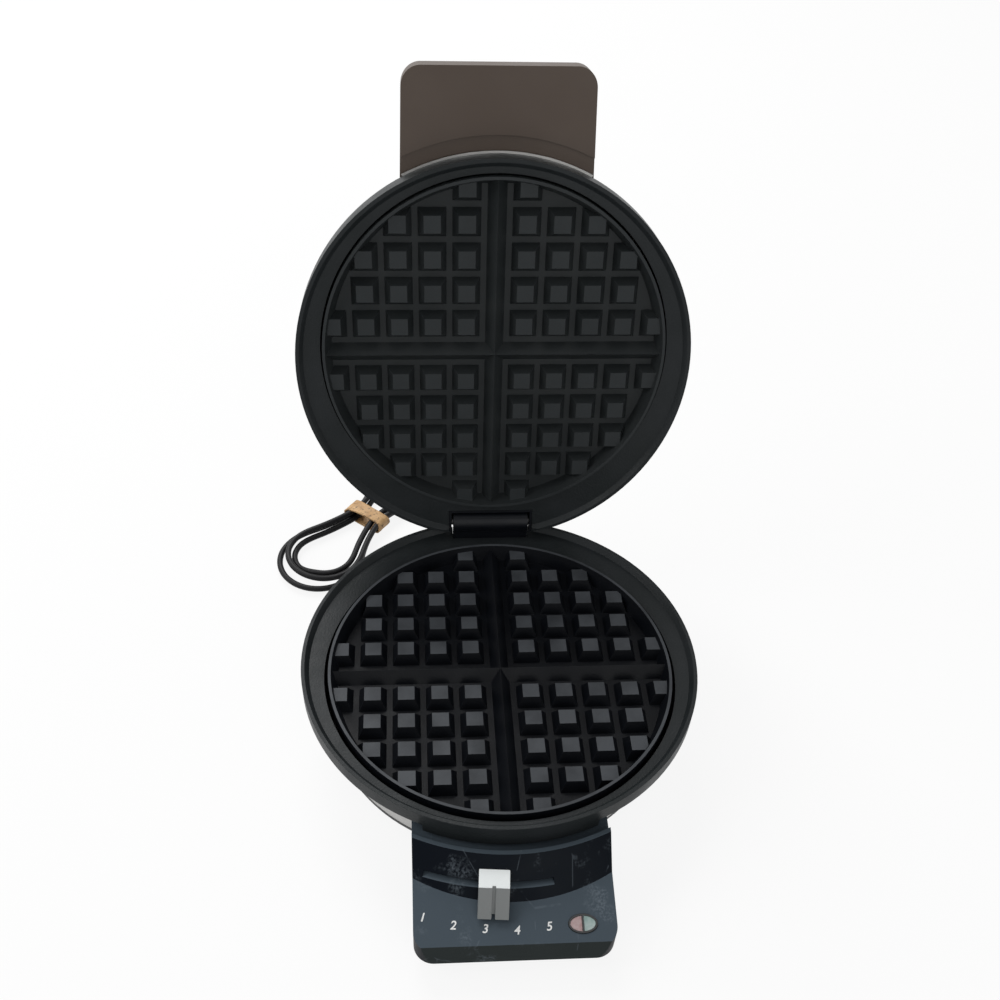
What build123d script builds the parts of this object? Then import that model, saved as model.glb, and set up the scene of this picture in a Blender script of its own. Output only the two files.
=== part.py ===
"""Round waffle maker, open: lower half, control housing, hinged lid and tied-up mains lead.

Millimetres, +Z up. The origin is the centre of the round base on the worktop, the user stands
at -Y and the hinge is at +Y. Everything of the lid is modelled closed and then swung open.
"""

import math
import os

from build123d import *

os.makedirs("parts", exist_ok=True)

# Clearances
RUN_GAP = 0.05  # radial, a shaft that turns in a bore
FIT_GAP = 0.15  # a piece that drops into its seat
BODY_GAP = 0.4  # neighbours that move past each other

# Plates: two equal castings whose centre lies in front of the collar's centre
plate_shift = 5.6
plate_radius = 84.2
plate_lip_width = 1.4
plate_lip_rise = 2.4
post_height = 5.6
post_top = 8.0
post_base = 13.3
post_pitch = 16.15
first_post = 14.0
post_rows = (5, 4, 4, 3, 1)
ridge_base = 9.0
ridge_rise = 0.4
plate_floor = 2.5
cavity_taper = 20.0
boss_radius = 5.0
boss_circle = 62.0
boss_count = 3
boss_turn = 90.0
plate_screw_radius = 1.6

# Heights above the worktop
rim_level = 48.0
ring_drop = 2.8
collar_skirt_level = 40.0
front_skirt_level = 35.3

# Collars
collar_radius = 97.5
rim_width = 1.8
rim_slope = 1.9
collar_wall = 2.3
ring_wall = 2.2
plate_gap = 1.9
front_skirt_angle = 24.0
lid_rim_gap = 0.5
lid_ring_drop = 2.2
lid_skirt_height = 11.2

# Steel shells
shell_wall = 0.8
bowl_top_radius = 94.6
bowl_top_level = 42.8
bowl_bottom_radius = 85.0
dome_height = 39.5
dome_crown = 5.0
dome_shoulder_radius = 24.0

# Control housing in front of the base
housing_width = 89.0
housing_front = 139.6
housing_front_draft = 2.2
housing_wall = 2.2
housing_corner = 9.0
housing_bottom = 8.7
deck_front_level = 20.0
deck_back_level = 24.0
crease_radius = 119.5
cone_top_radius = 104.0
cone_top_level = 38.0
ledge_width = 2.0
groove_level = 33.0

# Browning slider
slot_start = -20.4
slot_end = 9.0
slot_level = 29.0
slot_height = 2.1
slider_angle = -4.4
lever_width = 8.0
tab_width = 4.6
lever_thickness = 1.2
tab_end = 119.0
arm_end = 98.0
hub_radius = 8.0
shaft_radius = 3.0
knob_width = 13.7
knob_top_depth = 9.0
knob_top_level = 34.2
knob_lift = 2.5
knob_gap = 0.6
knob_groove = 1.5
knob_groove_depth = 1.0
knob_front_radius = 128.2

# Indicator window
lamp_x = 29.4
lamp_y = -129.6
lamp_length = 12.8
lamp_depth = 8.4
bezel_rim = 0.8
bezel_height = 3.0
bezel_proud = 0.5
lens_height = 2.2
neon_radius = 2.0
neon_length = 7.5

# Hinge
hinge_y = 90.2
hinge_z = 54.5
open_angle = 103.9
hinge_pin_radius = 2.0
block_width = 40.0
block_front = 86.5
block_back = 94.3
knuckle_radius = 6.0
block_flange = 8.0
flange_depth = 7.0
flange_setback = 2.1
flange_thickness = 3.0
notch_half = 22.3
notch_front = 82.0
frame_wall = 1.3
bracket_thickness = 1.6
bracket_ear = 4.6
heel_setback = 2.2
heel_relief = 1.4

# Handle
handle_reach = 133.2
handle_width = 89.4
handle_tip_width = 86.4
handle_corner = 9.0
handle_level = 60.2
handle_under_thickness = 2.6
handle_height = 13.0
handle_wall = 2.4
handle_edge = 5.0
handle_step_radius = 105.0
handle_step = 1.2
handle_root = 84.0
handle_screw_x = 26.0
handle_seat = 84.5
handle_boss_length = 28.0
handle_screw_length = 22.0

# Inside
element_radius = 3.1
element_loop = 50.0
element_gap_half = 12.0
element_gap_turn = 90.0
reflector_radius = 76.0
reflector_wall = 0.6
reflector_lip = 4.0
thermostat_size = 24.0
thermostat_height = 5.6
fuse_radius = 2.2
fuse_length = 22.0
terminal_size = (30.0, 14.0, 12.0)

# Bottom
cover_wall = 2.4
cover_inset = 1.4
foot_radius = 7.5
foot_height = 6.3
front_foot = (33.0, 119.0)
rear_foot = (42.0, 66.0)
cover_screw_radius = 1.75
screw_head_radius = 3.2
screw_head_height = 1.8

# Mains lead
cord_diameter = 3.4
relief_x = 22.0
relief_z = 18.0
relief_length = 30.0
relief_root = 4.6
relief_tip = 2.9
relief_flange = 6.5
relief_ribs = 6
rib_rise = 0.8
arc_share = 0.45
gap_density = 60
hank_turns = 3.0
hank_climb = 0.12
hank_shares = (0.11, 0.25, 0.39, 0.5, 0.61, 0.75, 0.89)
hank_pitch = 4.3
hank_level = 3.1
hank_layer = 3.9
hank_left = 69.5
hank_right = 56.0
hank_waist = 10.5
hank_left_lobe = 26.5
hank_right_lobe = 20.0
hank_shoulder = 30.0
hank_fans = (0.0, 6.5, 6.3)
hank_angle = 52.5
hank_centre = (-70.0, 147.0)
arrival_run = 20.0
leaving_run = 15.0
plug_length = 30.0
plug_width = 22.0
plug_height = 12.4
blade_length = 17.0
blade_width = 6.3
blade_thickness = 1.5
blade_spacing = 12.7
band_width = 8.0
band_wall = 1.0
band_gap = 0.35

# Levels that follow from the sizes above
ring_level = rim_level - ring_drop
post_level = rim_level - plate_lip_rise
plate_under = post_level - post_height - plate_floor
lid_rim_level = rim_level + lid_rim_gap
lid_post_level = lid_rim_level + plate_lip_rise
lid_plate_back = lid_post_level + post_height + plate_floor
lid_ring_level = lid_rim_level + lid_ring_drop
lid_skirt_level = lid_rim_level + lid_skirt_height
dome_top_level = lid_rim_level + dome_height
element_level = plate_under - element_radius - FIT_GAP
reflector_level = element_level - element_radius - FIT_GAP - reflector_wall
lid_element_level = lid_plate_back + element_radius + FIT_GAP
lid_reflector_level = lid_element_level + element_radius + FIT_GAP
cover_top = housing_bottom
cover_bottom = cover_top - cover_wall
deck_slope = math.degrees(
    math.atan2(deck_back_level - deck_front_level, housing_front - housing_front_draft - crease_radius)
)
cone_slope = (crease_radius - cone_top_radius) / (cone_top_level - deck_back_level)
plate_hole_radius = plate_radius + plate_gap
flange_half = block_width / 2 + block_flange
block_screw_spots = [
    (side * (flange_half - block_flange / 2), block_front - flange_setback) for side in (1, -1)
]
handle_split = handle_level + handle_under_thickness
handle_spots = [(side * handle_screw_x, handle_split + handle_height / 2) for side in (1, -1)]
bracket_level = hinge_z + knuckle_radius + BODY_GAP + bracket_thickness
hinge_axis = Axis((0, hinge_y, hinge_z), (1, 0, 0))
lower_face = Plane((0, -plate_shift, post_level))
upper_face = Plane((0, -plate_shift, lid_post_level), x_dir=(-1, 0, 0), z_dir=(0, 0, -1))


def save(part: Part, label: str) -> None:
    """Labels a piece and writes it where it stands."""
    part.label = label
    export_step(part, f"parts/{label}.step")


def save_opened(part: Part, label: str) -> None:
    """Swings a piece of the lid from closed to open and writes it."""
    save(part.rotate(hinge_axis, -open_angle), label)


def cone_radius(level: float) -> float:
    """Radius of the housing's sloping wall at a height."""
    return crease_radius - (level - deck_back_level) * cone_slope


def deck_level(y: float) -> float:
    """Height of the deck at a distance in front of the centre."""
    return deck_back_level - (y - crease_radius) * math.tan(math.radians(deck_slope))


def bowl_radius(level: float) -> float:
    """Outer radius of the lower steel shell at a height."""
    share = (level - cover_top) / (bowl_top_level - cover_top)
    return bowl_bottom_radius + (bowl_top_radius - bowl_bottom_radius) * share


def radial_plane(angle: float) -> Plane:
    """Upright plane through the centre; its x runs outwards, its y up. 0 is the front."""
    turn = math.radians(angle)
    outwards = (math.sin(turn), -math.cos(turn), 0)
    return Plane((0, 0, 0), x_dir=outwards, z_dir=(-math.cos(turn), -math.sin(turn), 0))


def boss_spots() -> list[tuple[float, float]]:
    """Centres of the plate's screw bosses around the plate's centre."""
    angles = [math.radians(boss_turn + 360 / boss_count * k) for k in range(boss_count)]
    return [(boss_circle * math.cos(a), boss_circle * math.sin(a)) for a in angles]


def post_spots() -> list[tuple[float, float]]:
    """Centres of the square posts of all four quarters."""
    quarter = [
        (first_post + column * post_pitch, first_post + row * post_pitch)
        for column, rows in enumerate(post_rows)
        for row in range(rows)
    ]
    return [(sx * x, sy * y) for x, y in quarter for sx in (1, -1) for sy in (1, -1)]


def grid_relief(face: Plane) -> Part:
    """Square posts and the cross of ridges, clipped to the round cavity."""
    post_taper = math.degrees(math.atan2((post_base - post_top) / 2, post_height))
    ridge = [(-ridge_base / 2, -post_height), (ridge_base / 2, -post_height), (0, ridge_rise)]
    across = Plane(face.origin, x_dir=face.y_dir, z_dir=face.x_dir)
    along = Plane(face.origin, x_dir=-face.x_dir, z_dir=face.y_dir)
    with BuildPart() as relief:
        with BuildSketch(face.offset(-post_height)):
            with Locations(*post_spots()):
                Rectangle(post_base, post_base)
        extrude(amount=post_height, taper=post_taper)
        for section in (across, along):
            with BuildSketch(section):
                Polygon(*ridge, align=None)
            extrude(amount=plate_radius, both=True)
        with BuildSketch(face.offset(-post_height)):
            Circle(plate_radius - plate_lip_width / 2)
        extrude(amount=post_height + ridge_rise, mode=Mode.INTERSECT)
    return relief.part


def grid_plate(face: Plane) -> Part:
    """Cast waffle plate whose post tops lie in the given plane, facing along its normal."""
    under = post_height + plate_floor
    boss_height = 2 * element_radius + 2 * FIT_GAP
    with BuildPart() as plate:
        with BuildSketch(face.offset(-under)):
            Circle(plate_radius)
        extrude(amount=under + plate_lip_rise)
        with BuildSketch(face.offset(plate_lip_rise)):
            Circle(plate_radius - plate_lip_width)
        extrude(amount=-(post_height + plate_lip_rise), taper=cavity_taper, mode=Mode.SUBTRACT)
        add(grid_relief(face))
        with BuildSketch(face.offset(-under)):
            with Locations(*boss_spots()):
                Circle(boss_radius)
        extrude(amount=-boss_height)
        with BuildSketch(face.offset(-under - boss_height)):
            with Locations(*boss_spots()):
                Circle(plate_screw_radius + RUN_GAP)
        extrude(amount=boss_height, mode=Mode.SUBTRACT)
    return plate.part


def heating_element(face: Plane) -> Part:
    """Tubular heating element: an open ring whose gap is at the back."""
    half_gap = math.degrees(math.asin(element_gap_half / element_loop))
    with BuildPart() as element:
        with BuildLine(face) as path:
            CenterArc((0, 0), element_loop, element_gap_turn + half_gap, 360 - 2 * half_gap)
        with BuildSketch(Plane(path.line @ 0, z_dir=path.line % 0)):
            Circle(element_radius)
        sweep(path=path.line)
    return element.part


def reflector(face: Plane) -> Part:
    """Thin steel pan behind an element; its lip points to the plate. The face is its back."""
    with BuildPart() as pan:
        with BuildSketch(face):
            Circle(reflector_radius)
        extrude(amount=reflector_lip)
        with BuildSketch(face.offset(reflector_wall)):
            Circle(reflector_radius - reflector_wall)
        extrude(amount=reflector_lip, mode=Mode.SUBTRACT)
        with BuildSketch(face):
            with Locations((0, plate_shift)):
                Circle(2 * shaft_radius)
            with Locations(*boss_spots()):
                Circle(plate_screw_radius + FIT_GAP)
        extrude(amount=reflector_wall, mode=Mode.SUBTRACT)
    return pan.part


def screws(face: Plane, spots: list[tuple[float, float]], shank: float, radius: float) -> Part:
    """Pan-head screws whose heads' undersides lie on the face; the shanks follow its normal."""
    with BuildPart() as group:
        with BuildSketch(face):
            with Locations(*spots):
                Circle(radius)
        extrude(amount=shank)
        with BuildSketch(face):
            with Locations(*spots):
                Circle(screw_head_radius)
        extrude(amount=-screw_head_height)
    return group.part


def columns(face: Plane, height: float, bore: float) -> Part:
    """Spacer tubes behind a reflector, one around each plate screw."""
    with BuildPart() as tubes:
        with BuildSketch(face):
            with Locations(*boss_spots()):
                Circle(boss_radius)
                Circle(bore, mode=Mode.SUBTRACT)
        extrude(amount=height)
    return tubes.part


# Plates, elements and reflectors
save(grid_plate(lower_face), "lower_grid_plate")
save_opened(grid_plate(upper_face), "upper_grid_plate")
save(heating_element(Plane((0, -plate_shift, element_level))), "lower_heating_element")
save_opened(heating_element(Plane((0, -plate_shift, lid_element_level))), "upper_heating_element")
lower_pan_face = Plane((0, -plate_shift, reflector_level))
upper_pan_face = Plane(
    (0, -plate_shift, lid_reflector_level + reflector_wall), x_dir=(-1, 0, 0), z_dir=(0, 0, -1)
)
save(reflector(lower_pan_face), "lower_reflector")
save_opened(reflector(upper_pan_face), "upper_reflector")

# Lower collar: rim, textured ring, skirt and the deeper skirt over the housing
ring_under = ring_level - ring_wall
ring_outer = collar_radius - rim_width - rim_slope
skirt_inner = collar_radius - collar_wall
with BuildPart() as collar:
    with BuildSketch(radial_plane(0)):
        Polygon(
            (0, ring_under),
            (skirt_inner, ring_under),
            (skirt_inner, collar_skirt_level),
            (collar_radius, collar_skirt_level),
            (collar_radius, rim_level),
            (collar_radius - rim_width, rim_level),
            (ring_outer, ring_level),
            (0, ring_level),
            align=None,
        )
    revolve(axis=Axis.Z)
    with BuildSketch(radial_plane(-front_skirt_angle)):
        Polygon(
            (skirt_inner, front_skirt_level),
            (collar_radius, front_skirt_level),
            (collar_radius, collar_skirt_level),
            (skirt_inner, collar_skirt_level),
            align=None,
        )
    revolve(axis=Axis.Z, revolution_arc=2 * front_skirt_angle)
    with BuildSketch(Plane((0, -plate_shift, ring_under))):
        Circle(plate_hole_radius)
    extrude(amount=ring_wall, mode=Mode.SUBTRACT)
    with BuildSketch(Plane((0, block_front - FIT_GAP, 0))):
        Rectangle(block_width + 2 * FIT_GAP, collar_radius, align=(Align.CENTER, Align.MIN))
    extrude(amount=rim_level, mode=Mode.SUBTRACT)
    with BuildSketch(Plane((0, notch_front, ring_level))):
        Rectangle(2 * (notch_half + rim_width), collar_radius, align=(Align.CENTER, Align.MIN))
    extrude(amount=rim_level, mode=Mode.SUBTRACT)
    with BuildSketch(Plane((0, 0, ring_under))):
        with Locations(*block_screw_spots):
            Circle(cover_screw_radius + RUN_GAP)
    extrude(amount=ring_wall * 0.7, mode=Mode.SUBTRACT)
save(collar.part, "base_collar")

# Lower steel shell, open to the housing in front and drilled for the lead at the back
with BuildPart() as bowl:
    with BuildSketch(radial_plane(0)):
        Polygon(
            (bowl_bottom_radius, cover_top),
            (bowl_top_radius, bowl_top_level),
            (bowl_top_radius - shell_wall, bowl_top_level),
            (bowl_bottom_radius - shell_wall, cover_top),
            align=None,
        )
    revolve(axis=Axis.Z)
    with BuildSketch(Plane.XZ):
        with Locations((0, (cover_top + groove_level - housing_wall) / 2)):
            height = groove_level - housing_wall - cover_top
            Rectangle(housing_width - 2 * (housing_wall + BODY_GAP), height)
    extrude(amount=bowl_top_radius, mode=Mode.SUBTRACT)
    with BuildSketch(Plane.XZ):
        with Locations((relief_x, relief_z)):
            Circle(relief_root + FIT_GAP)
    extrude(amount=-bowl_top_radius, mode=Mode.SUBTRACT)
save(bowl.part, "base_shell")

# Control housing: sloping deck, conical wall with the slot, ledge and groove under the collar
inset_shift = housing_wall * math.hypot(1, cone_slope)
housing_back = bowl_radius(housing_bottom) / 2


def housing_form(inset: float, top: list[tuple[float, float]]) -> Part:
    """Deck and conical wall within the housing's outline, drawn in by an inset."""
    with BuildPart() as form:
        with BuildSketch(Plane.YZ):
            Polygon(
                (-housing_front + inset, housing_bottom),
                (-housing_front + housing_front_draft + inset, deck_front_level - inset),
                (-crease_radius, deck_back_level - inset),
                (-bowl_top_radius, deck_level(bowl_top_radius) - inset),
                (-bowl_top_radius, housing_bottom),
                align=None,
            )
        extrude(amount=housing_width, both=True)
        with BuildSketch(radial_plane(0)):
            Polygon((0, housing_bottom), *top, align=None)
        revolve(axis=Axis.Z)
        with BuildSketch(Plane.XY.offset(housing_bottom)):
            with Locations((0, -(housing_front + housing_back) / 2)):
                length = housing_front - housing_back - 2 * inset
                RectangleRounded(housing_width - 2 * inset, length, housing_corner - inset)
        extrude(amount=cone_top_level, mode=Mode.INTERSECT)
    return form.part


outer_top = [
    (crease_radius, housing_bottom),
    (crease_radius, deck_back_level),
    (cone_top_radius, cone_top_level),
    (cone_top_radius - ledge_width, cone_top_level),
    (cone_top_radius - ledge_width - 1, groove_level),
    (0, groove_level),
]
inner_level = groove_level - housing_wall
inner_top = [
    (crease_radius - inset_shift, housing_bottom),
    (crease_radius - inset_shift, deck_back_level),
    (cone_radius(inner_level) - inset_shift, inner_level),
    (0, inner_level),
]
lamp_plane = Plane(
    (lamp_x, lamp_y, deck_level(-lamp_y)),
    x_dir=(1, 0, 0),
    z_dir=(0, -math.sin(math.radians(deck_slope)), math.cos(math.radians(deck_slope))),
)
with BuildPart() as housing:
    add(housing_form(0, outer_top))
    add(housing_form(housing_wall, inner_top), mode=Mode.SUBTRACT)
    with BuildSketch(radial_plane(0)):
        Polygon(
            (0, 0),
            (bowl_radius(0) + BODY_GAP, 0),
            (bowl_radius(cone_top_level) + BODY_GAP, cone_top_level),
            (0, cone_top_level),
            align=None,
        )
    revolve(axis=Axis.Z, mode=Mode.SUBTRACT)
    with BuildSketch(radial_plane(slot_start)):
        with Locations(((cone_top_radius + crease_radius) / 2, slot_level)):
            Rectangle(2 * (crease_radius - cone_top_radius), slot_height)
    revolve(axis=Axis.Z, revolution_arc=slot_end - slot_start, mode=Mode.SUBTRACT)
    with BuildSketch(lamp_plane):
        Ellipse(lamp_length / 2 + FIT_GAP, lamp_depth / 2 + FIT_GAP)
    extrude(amount=2 * bezel_height, both=True, mode=Mode.SUBTRACT)
save(housing.part, "control_housing")

# Indicator window
with BuildPart() as bezel:
    with BuildSketch(lamp_plane.offset(bezel_proud)):
        Ellipse(lamp_length / 2, lamp_depth / 2)
        Ellipse(lamp_length / 2 - bezel_rim, lamp_depth / 2 - bezel_rim, mode=Mode.SUBTRACT)
        Rectangle(bezel_rim, lamp_depth - bezel_rim)
    extrude(amount=-bezel_height)
save(bezel.part, "indicator_bezel")
for side, lens_name in ((-1, "red_lens"), (1, "green_lens")):
    with BuildPart() as lens:
        with BuildSketch(lamp_plane.offset(bezel_proud / 2)):
            Ellipse(
                lamp_length / 2 - bezel_rim - RUN_GAP,
                lamp_depth / 2 - bezel_rim - RUN_GAP,
            )
            with Locations((side * (bezel_rim / 2 + RUN_GAP), 0)):
                Rectangle(
                    lamp_length,
                    lamp_depth,
                    align=(Align.MIN if side > 0 else Align.MAX, Align.CENTER),
                    mode=Mode.INTERSECT,
                )
        extrude(amount=-lens_height)
    save(lens.part, lens_name)
with BuildPart() as neons:
    neon_side = Plane(lamp_plane.origin, x_dir=lamp_plane.x_dir, z_dir=lamp_plane.y_dir)
    with BuildSketch(neon_side):
        with Locations(*[(s * lamp_length / 4, bezel_height + neon_radius - bezel_proud) for s in (1, -1)]):
            Circle(neon_radius)
    extrude(amount=neon_length / 2, both=True)
save(neons.part, "neon_lamps")

# Thermostat and browning slider
with BuildPart() as thermostat:
    with BuildSketch(Plane.XY.offset(plate_under)):
        RectangleRounded(thermostat_size, thermostat_size, shaft_radius)
    extrude(amount=-thermostat_height)
    with BuildSketch(Plane.XY.offset(plate_under - thermostat_height)):
        Circle(shaft_radius + RUN_GAP)
    extrude(amount=thermostat_height * 0.7, mode=Mode.SUBTRACT)
save(thermostat.part, "thermostat_body")
lever_under = slot_level - lever_thickness / 2
with BuildPart() as shaft:
    with BuildSketch(Plane.XY.offset(lever_under)):
        Circle(shaft_radius)
    extrude(amount=plate_under - thermostat_height * 0.4 - lever_under)
    with BuildSketch(Plane.XY.offset(lever_under)):
        Circle(hub_radius / 2)
    extrude(amount=-lever_thickness)
save(shaft.part, "thermostat_shaft")
slider_out = radial_plane(slider_angle).x_dir
lever_plane = Plane((0, 0, lever_under), x_dir=slider_out, z_dir=(0, 0, 1))
with BuildPart() as lever:
    with BuildSketch(lever_plane):
        Circle(hub_radius)
        Rectangle(arm_end, lever_width, align=(Align.MIN, Align.CENTER))
        Rectangle(tab_end, tab_width, align=(Align.MIN, Align.CENTER))
        Circle(shaft_radius + RUN_GAP, mode=Mode.SUBTRACT)
    extrude(amount=lever_thickness)
save(lever.part, "control_lever")
knob_back_gap = knob_gap * math.hypot(1, cone_slope)
knob_back = cone_radius(knob_top_level) + knob_back_gap
knob_foot = deck_level(knob_front_radius) + knob_lift
knob_heel = deck_back_level + knob_lift
with BuildPart() as knob:
    with BuildSketch(radial_plane(slider_angle)):
        Polygon(
            (knob_back, knob_top_level),
            (knob_back + knob_top_depth, knob_top_level),
            (knob_front_radius, knob_foot),
            (cone_radius(knob_heel) + knob_back_gap, knob_heel),
            align=None,
        )
    extrude(amount=knob_width / 2, both=True)
    with BuildSketch(radial_plane(slider_angle)):
        Polygon(
            (knob_back + knob_top_depth + knob_groove_depth, knob_top_level + knob_groove_depth),
            (knob_front_radius + 2 * knob_groove_depth, knob_foot - knob_groove_depth),
            (knob_front_radius - knob_groove_depth, knob_foot - knob_groove_depth),
            (knob_back + knob_top_depth - 2 * knob_groove_depth, knob_top_level + knob_groove_depth),
            align=None,
        )
    extrude(amount=knob_groove / 2, both=True, mode=Mode.SUBTRACT)
    with BuildSketch(lever_plane.offset(-FIT_GAP)):
        Rectangle(tab_end + FIT_GAP, tab_width + 2 * FIT_GAP, align=(Align.MIN, Align.CENTER))
    extrude(amount=lever_thickness + 2 * FIT_GAP, mode=Mode.SUBTRACT)
save(knob.part, "slider_knob")

# Thermal fuse clipped under the lower plate
with BuildPart() as fuse:
    with BuildSketch(Plane((0, thermostat_size, plate_under - fuse_radius - FIT_GAP), z_dir=(1, 0, 0))):
        Circle(fuse_radius)
    extrude(amount=fuse_length / 2, both=True)
save(fuse.part, "thermal_fuse")

# Bottom cover, its columns, long screws, terminal block and feet
feet_spots = [(s * front_foot[0], -front_foot[1]) for s in (1, -1)]
feet_spots += [(s * rear_foot[0], rear_foot[1]) for s in (1, -1)]
with BuildPart() as cover:
    with BuildSketch(Plane.XY.offset(cover_bottom)):
        Circle(bowl_bottom_radius)
        with Locations((0, -(housing_front - cover_inset) / 2)):
            RectangleRounded(
                housing_width - 2 * cover_inset, housing_front - cover_inset, housing_corner - cover_inset
            )
        with Locations((0, -plate_shift)):
            with Locations(*boss_spots()):
                Circle(plate_screw_radius + FIT_GAP, mode=Mode.SUBTRACT)
    extrude(amount=cover_wall)
save(cover.part, "bottom_cover")
column_base = lower_pan_face.offset(cover_top - reflector_level)
save(columns(column_base, reflector_level - cover_top, plate_screw_radius + FIT_GAP), "base_spacers")
long_shank = reflector_level + reflector_wall + element_radius - cover_bottom
save(
    screws(Plane((0, -plate_shift, cover_bottom)), boss_spots(), long_shank, plate_screw_radius),
    "base_screws",
)
with BuildPart() as feet:
    with BuildSketch(Plane.XY):
        with Locations(*feet_spots):
            Circle(foot_radius)
    extrude(amount=foot_height, taper=3)
save(feet.part, "rubber_feet")
with BuildPart() as terminals:
    with BuildSketch(Plane((relief_x, bowl_bottom_radius - 2 * terminal_size[1], cover_top))):
        Rectangle(terminal_size[0], terminal_size[1])
    extrude(amount=terminal_size[2])
save(terminals.part, "terminal_block")

# Hinge: block on the base, pin, and the lid's bracket and trim frame
with BuildPart() as block:
    with BuildSketch(Plane.YZ):
        with Locations((hinge_y, hinge_z)):
            Circle(knuckle_radius)
        Polygon(
            (block_front, ring_under - flange_thickness),
            (block_front, hinge_z + knuckle_radius * 0.8),
            (hinge_y, hinge_z + knuckle_radius),
            (block_back, hinge_z),
            (block_back, ring_under),
            (block_front + flange_thickness, ring_under),
            (block_front + flange_thickness, ring_under - flange_thickness),
            align=None,
        )
    extrude(amount=block_width / 2, both=True)
    with BuildSketch(Plane.XY.offset(ring_under)):
        with Locations((0, block_front - flange_setback)):
            Rectangle(2 * flange_half, flange_depth)
    extrude(amount=-flange_thickness)
    with BuildSketch(Plane.YZ):
        with Locations((hinge_y, hinge_z)):
            Circle(hinge_pin_radius + RUN_GAP)
    extrude(amount=block_width, both=True, mode=Mode.SUBTRACT)
    with BuildSketch(Plane.XY.offset(ring_under)):
        with Locations(*block_screw_spots):
            Circle(cover_screw_radius + FIT_GAP)
    extrude(amount=-flange_thickness, mode=Mode.SUBTRACT)
save(block.part, "hinge_block")
save(
    screws(
        Plane.XY.offset(ring_under - flange_thickness),
        block_screw_spots,
        flange_thickness + ring_wall * 0.6,
        cover_screw_radius,
    ),
    "hinge_block_screws",
)
ear_inner = notch_half + BODY_GAP
ear_outer = ear_inner + bracket_thickness
pin_half = ear_outer + hinge_pin_radius / 2
with BuildPart() as pin:
    with BuildSketch(Plane.YZ):
        with Locations((hinge_y, hinge_z)):
            Circle(hinge_pin_radius)
    extrude(amount=pin_half, both=True)
save_opened(pin.part, "hinge_pin")
pocket_level = lid_ring_level + ring_wall / 2
with BuildPart() as bracket:
    with BuildSketch(Plane.YZ):
        with Locations((hinge_y, hinge_z)):
            Circle(bracket_ear)
        with Locations((hinge_y, (hinge_z + bracket_level) / 2)):
            Rectangle(2 * bracket_ear, bracket_level - hinge_z)
        with Locations((hinge_y, hinge_z)):
            Circle(hinge_pin_radius + RUN_GAP, mode=Mode.SUBTRACT)
        with Locations((hinge_y, pocket_level + BODY_GAP)):
            Rectangle(
                4 * bracket_ear, bracket_ear, align=(Align.CENTER, Align.MAX), mode=Mode.SUBTRACT
            )
    extrude(amount=ear_outer, both=True)
    with BuildSketch(Plane.YZ):
        with Locations((hinge_y, hinge_z)):
            Rectangle(4 * bracket_ear, 2 * (bracket_level - hinge_z - bracket_thickness))
    extrude(amount=ear_inner, both=True, mode=Mode.SUBTRACT)
save_opened(bracket.part, "lid_hinge_bracket")
with BuildPart() as frame:
    with BuildSketch(Plane.XY.offset(lid_ring_level)):
        with Locations((0, notch_front)):
            Rectangle(2 * notch_half, collar_radius, align=(Align.CENTER, Align.MIN))
        with Locations((0, notch_front + frame_wall)):
            Rectangle(
                2 * (notch_half - frame_wall),
                collar_radius,
                align=(Align.CENTER, Align.MIN),
                mode=Mode.SUBTRACT,
            )
        Circle(collar_radius, mode=Mode.INTERSECT)
    extrude(amount=lid_skirt_level - lid_ring_level)
    with BuildSketch(Plane.YZ):
        with Locations((hinge_y, hinge_z)):
            Circle(hinge_pin_radius + BODY_GAP)
    extrude(amount=block_width, both=True, mode=Mode.SUBTRACT)
save_opened(frame.part, "lid_hinge_frame")

# Lid collar
lid_ring_back = lid_ring_level + ring_wall
with BuildPart() as lid_collar:
    with BuildSketch(radial_plane(0)):
        Polygon(
            (0, lid_ring_level),
            (ring_outer, lid_ring_level),
            (collar_radius - rim_width, lid_rim_level),
            (collar_radius, lid_rim_level),
            (collar_radius, lid_skirt_level),
            (skirt_inner, lid_skirt_level),
            (skirt_inner, lid_ring_back),
            (0, lid_ring_back),
            align=None,
        )
    revolve(axis=Axis.Z)
    with BuildSketch(Plane((0, -plate_shift, lid_ring_level))):
        Circle(plate_radius + plate_gap / 2)
    extrude(amount=ring_wall, mode=Mode.SUBTRACT)
    with BuildSketch(Plane((0, notch_front - FIT_GAP, lid_rim_level))):
        Rectangle(2 * (notch_half + FIT_GAP), collar_radius, align=(Align.CENTER, Align.MIN))
    extrude(amount=lid_skirt_height, mode=Mode.SUBTRACT)
    with BuildSketch(Plane((0, hinge_y, pocket_level))):
        Rectangle(2 * (pin_half + BODY_GAP), 2 * (bracket_ear + BODY_GAP))
    extrude(amount=lid_skirt_height, mode=Mode.SUBTRACT)
    with BuildSketch(Plane((0, hinge_y + heel_setback, lid_rim_level))):
        Rectangle(2 * collar_radius, collar_radius, align=(Align.CENTER, Align.MIN))
    extrude(amount=heel_relief, mode=Mode.SUBTRACT)
save_opened(lid_collar.part, "lid_collar")


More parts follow.
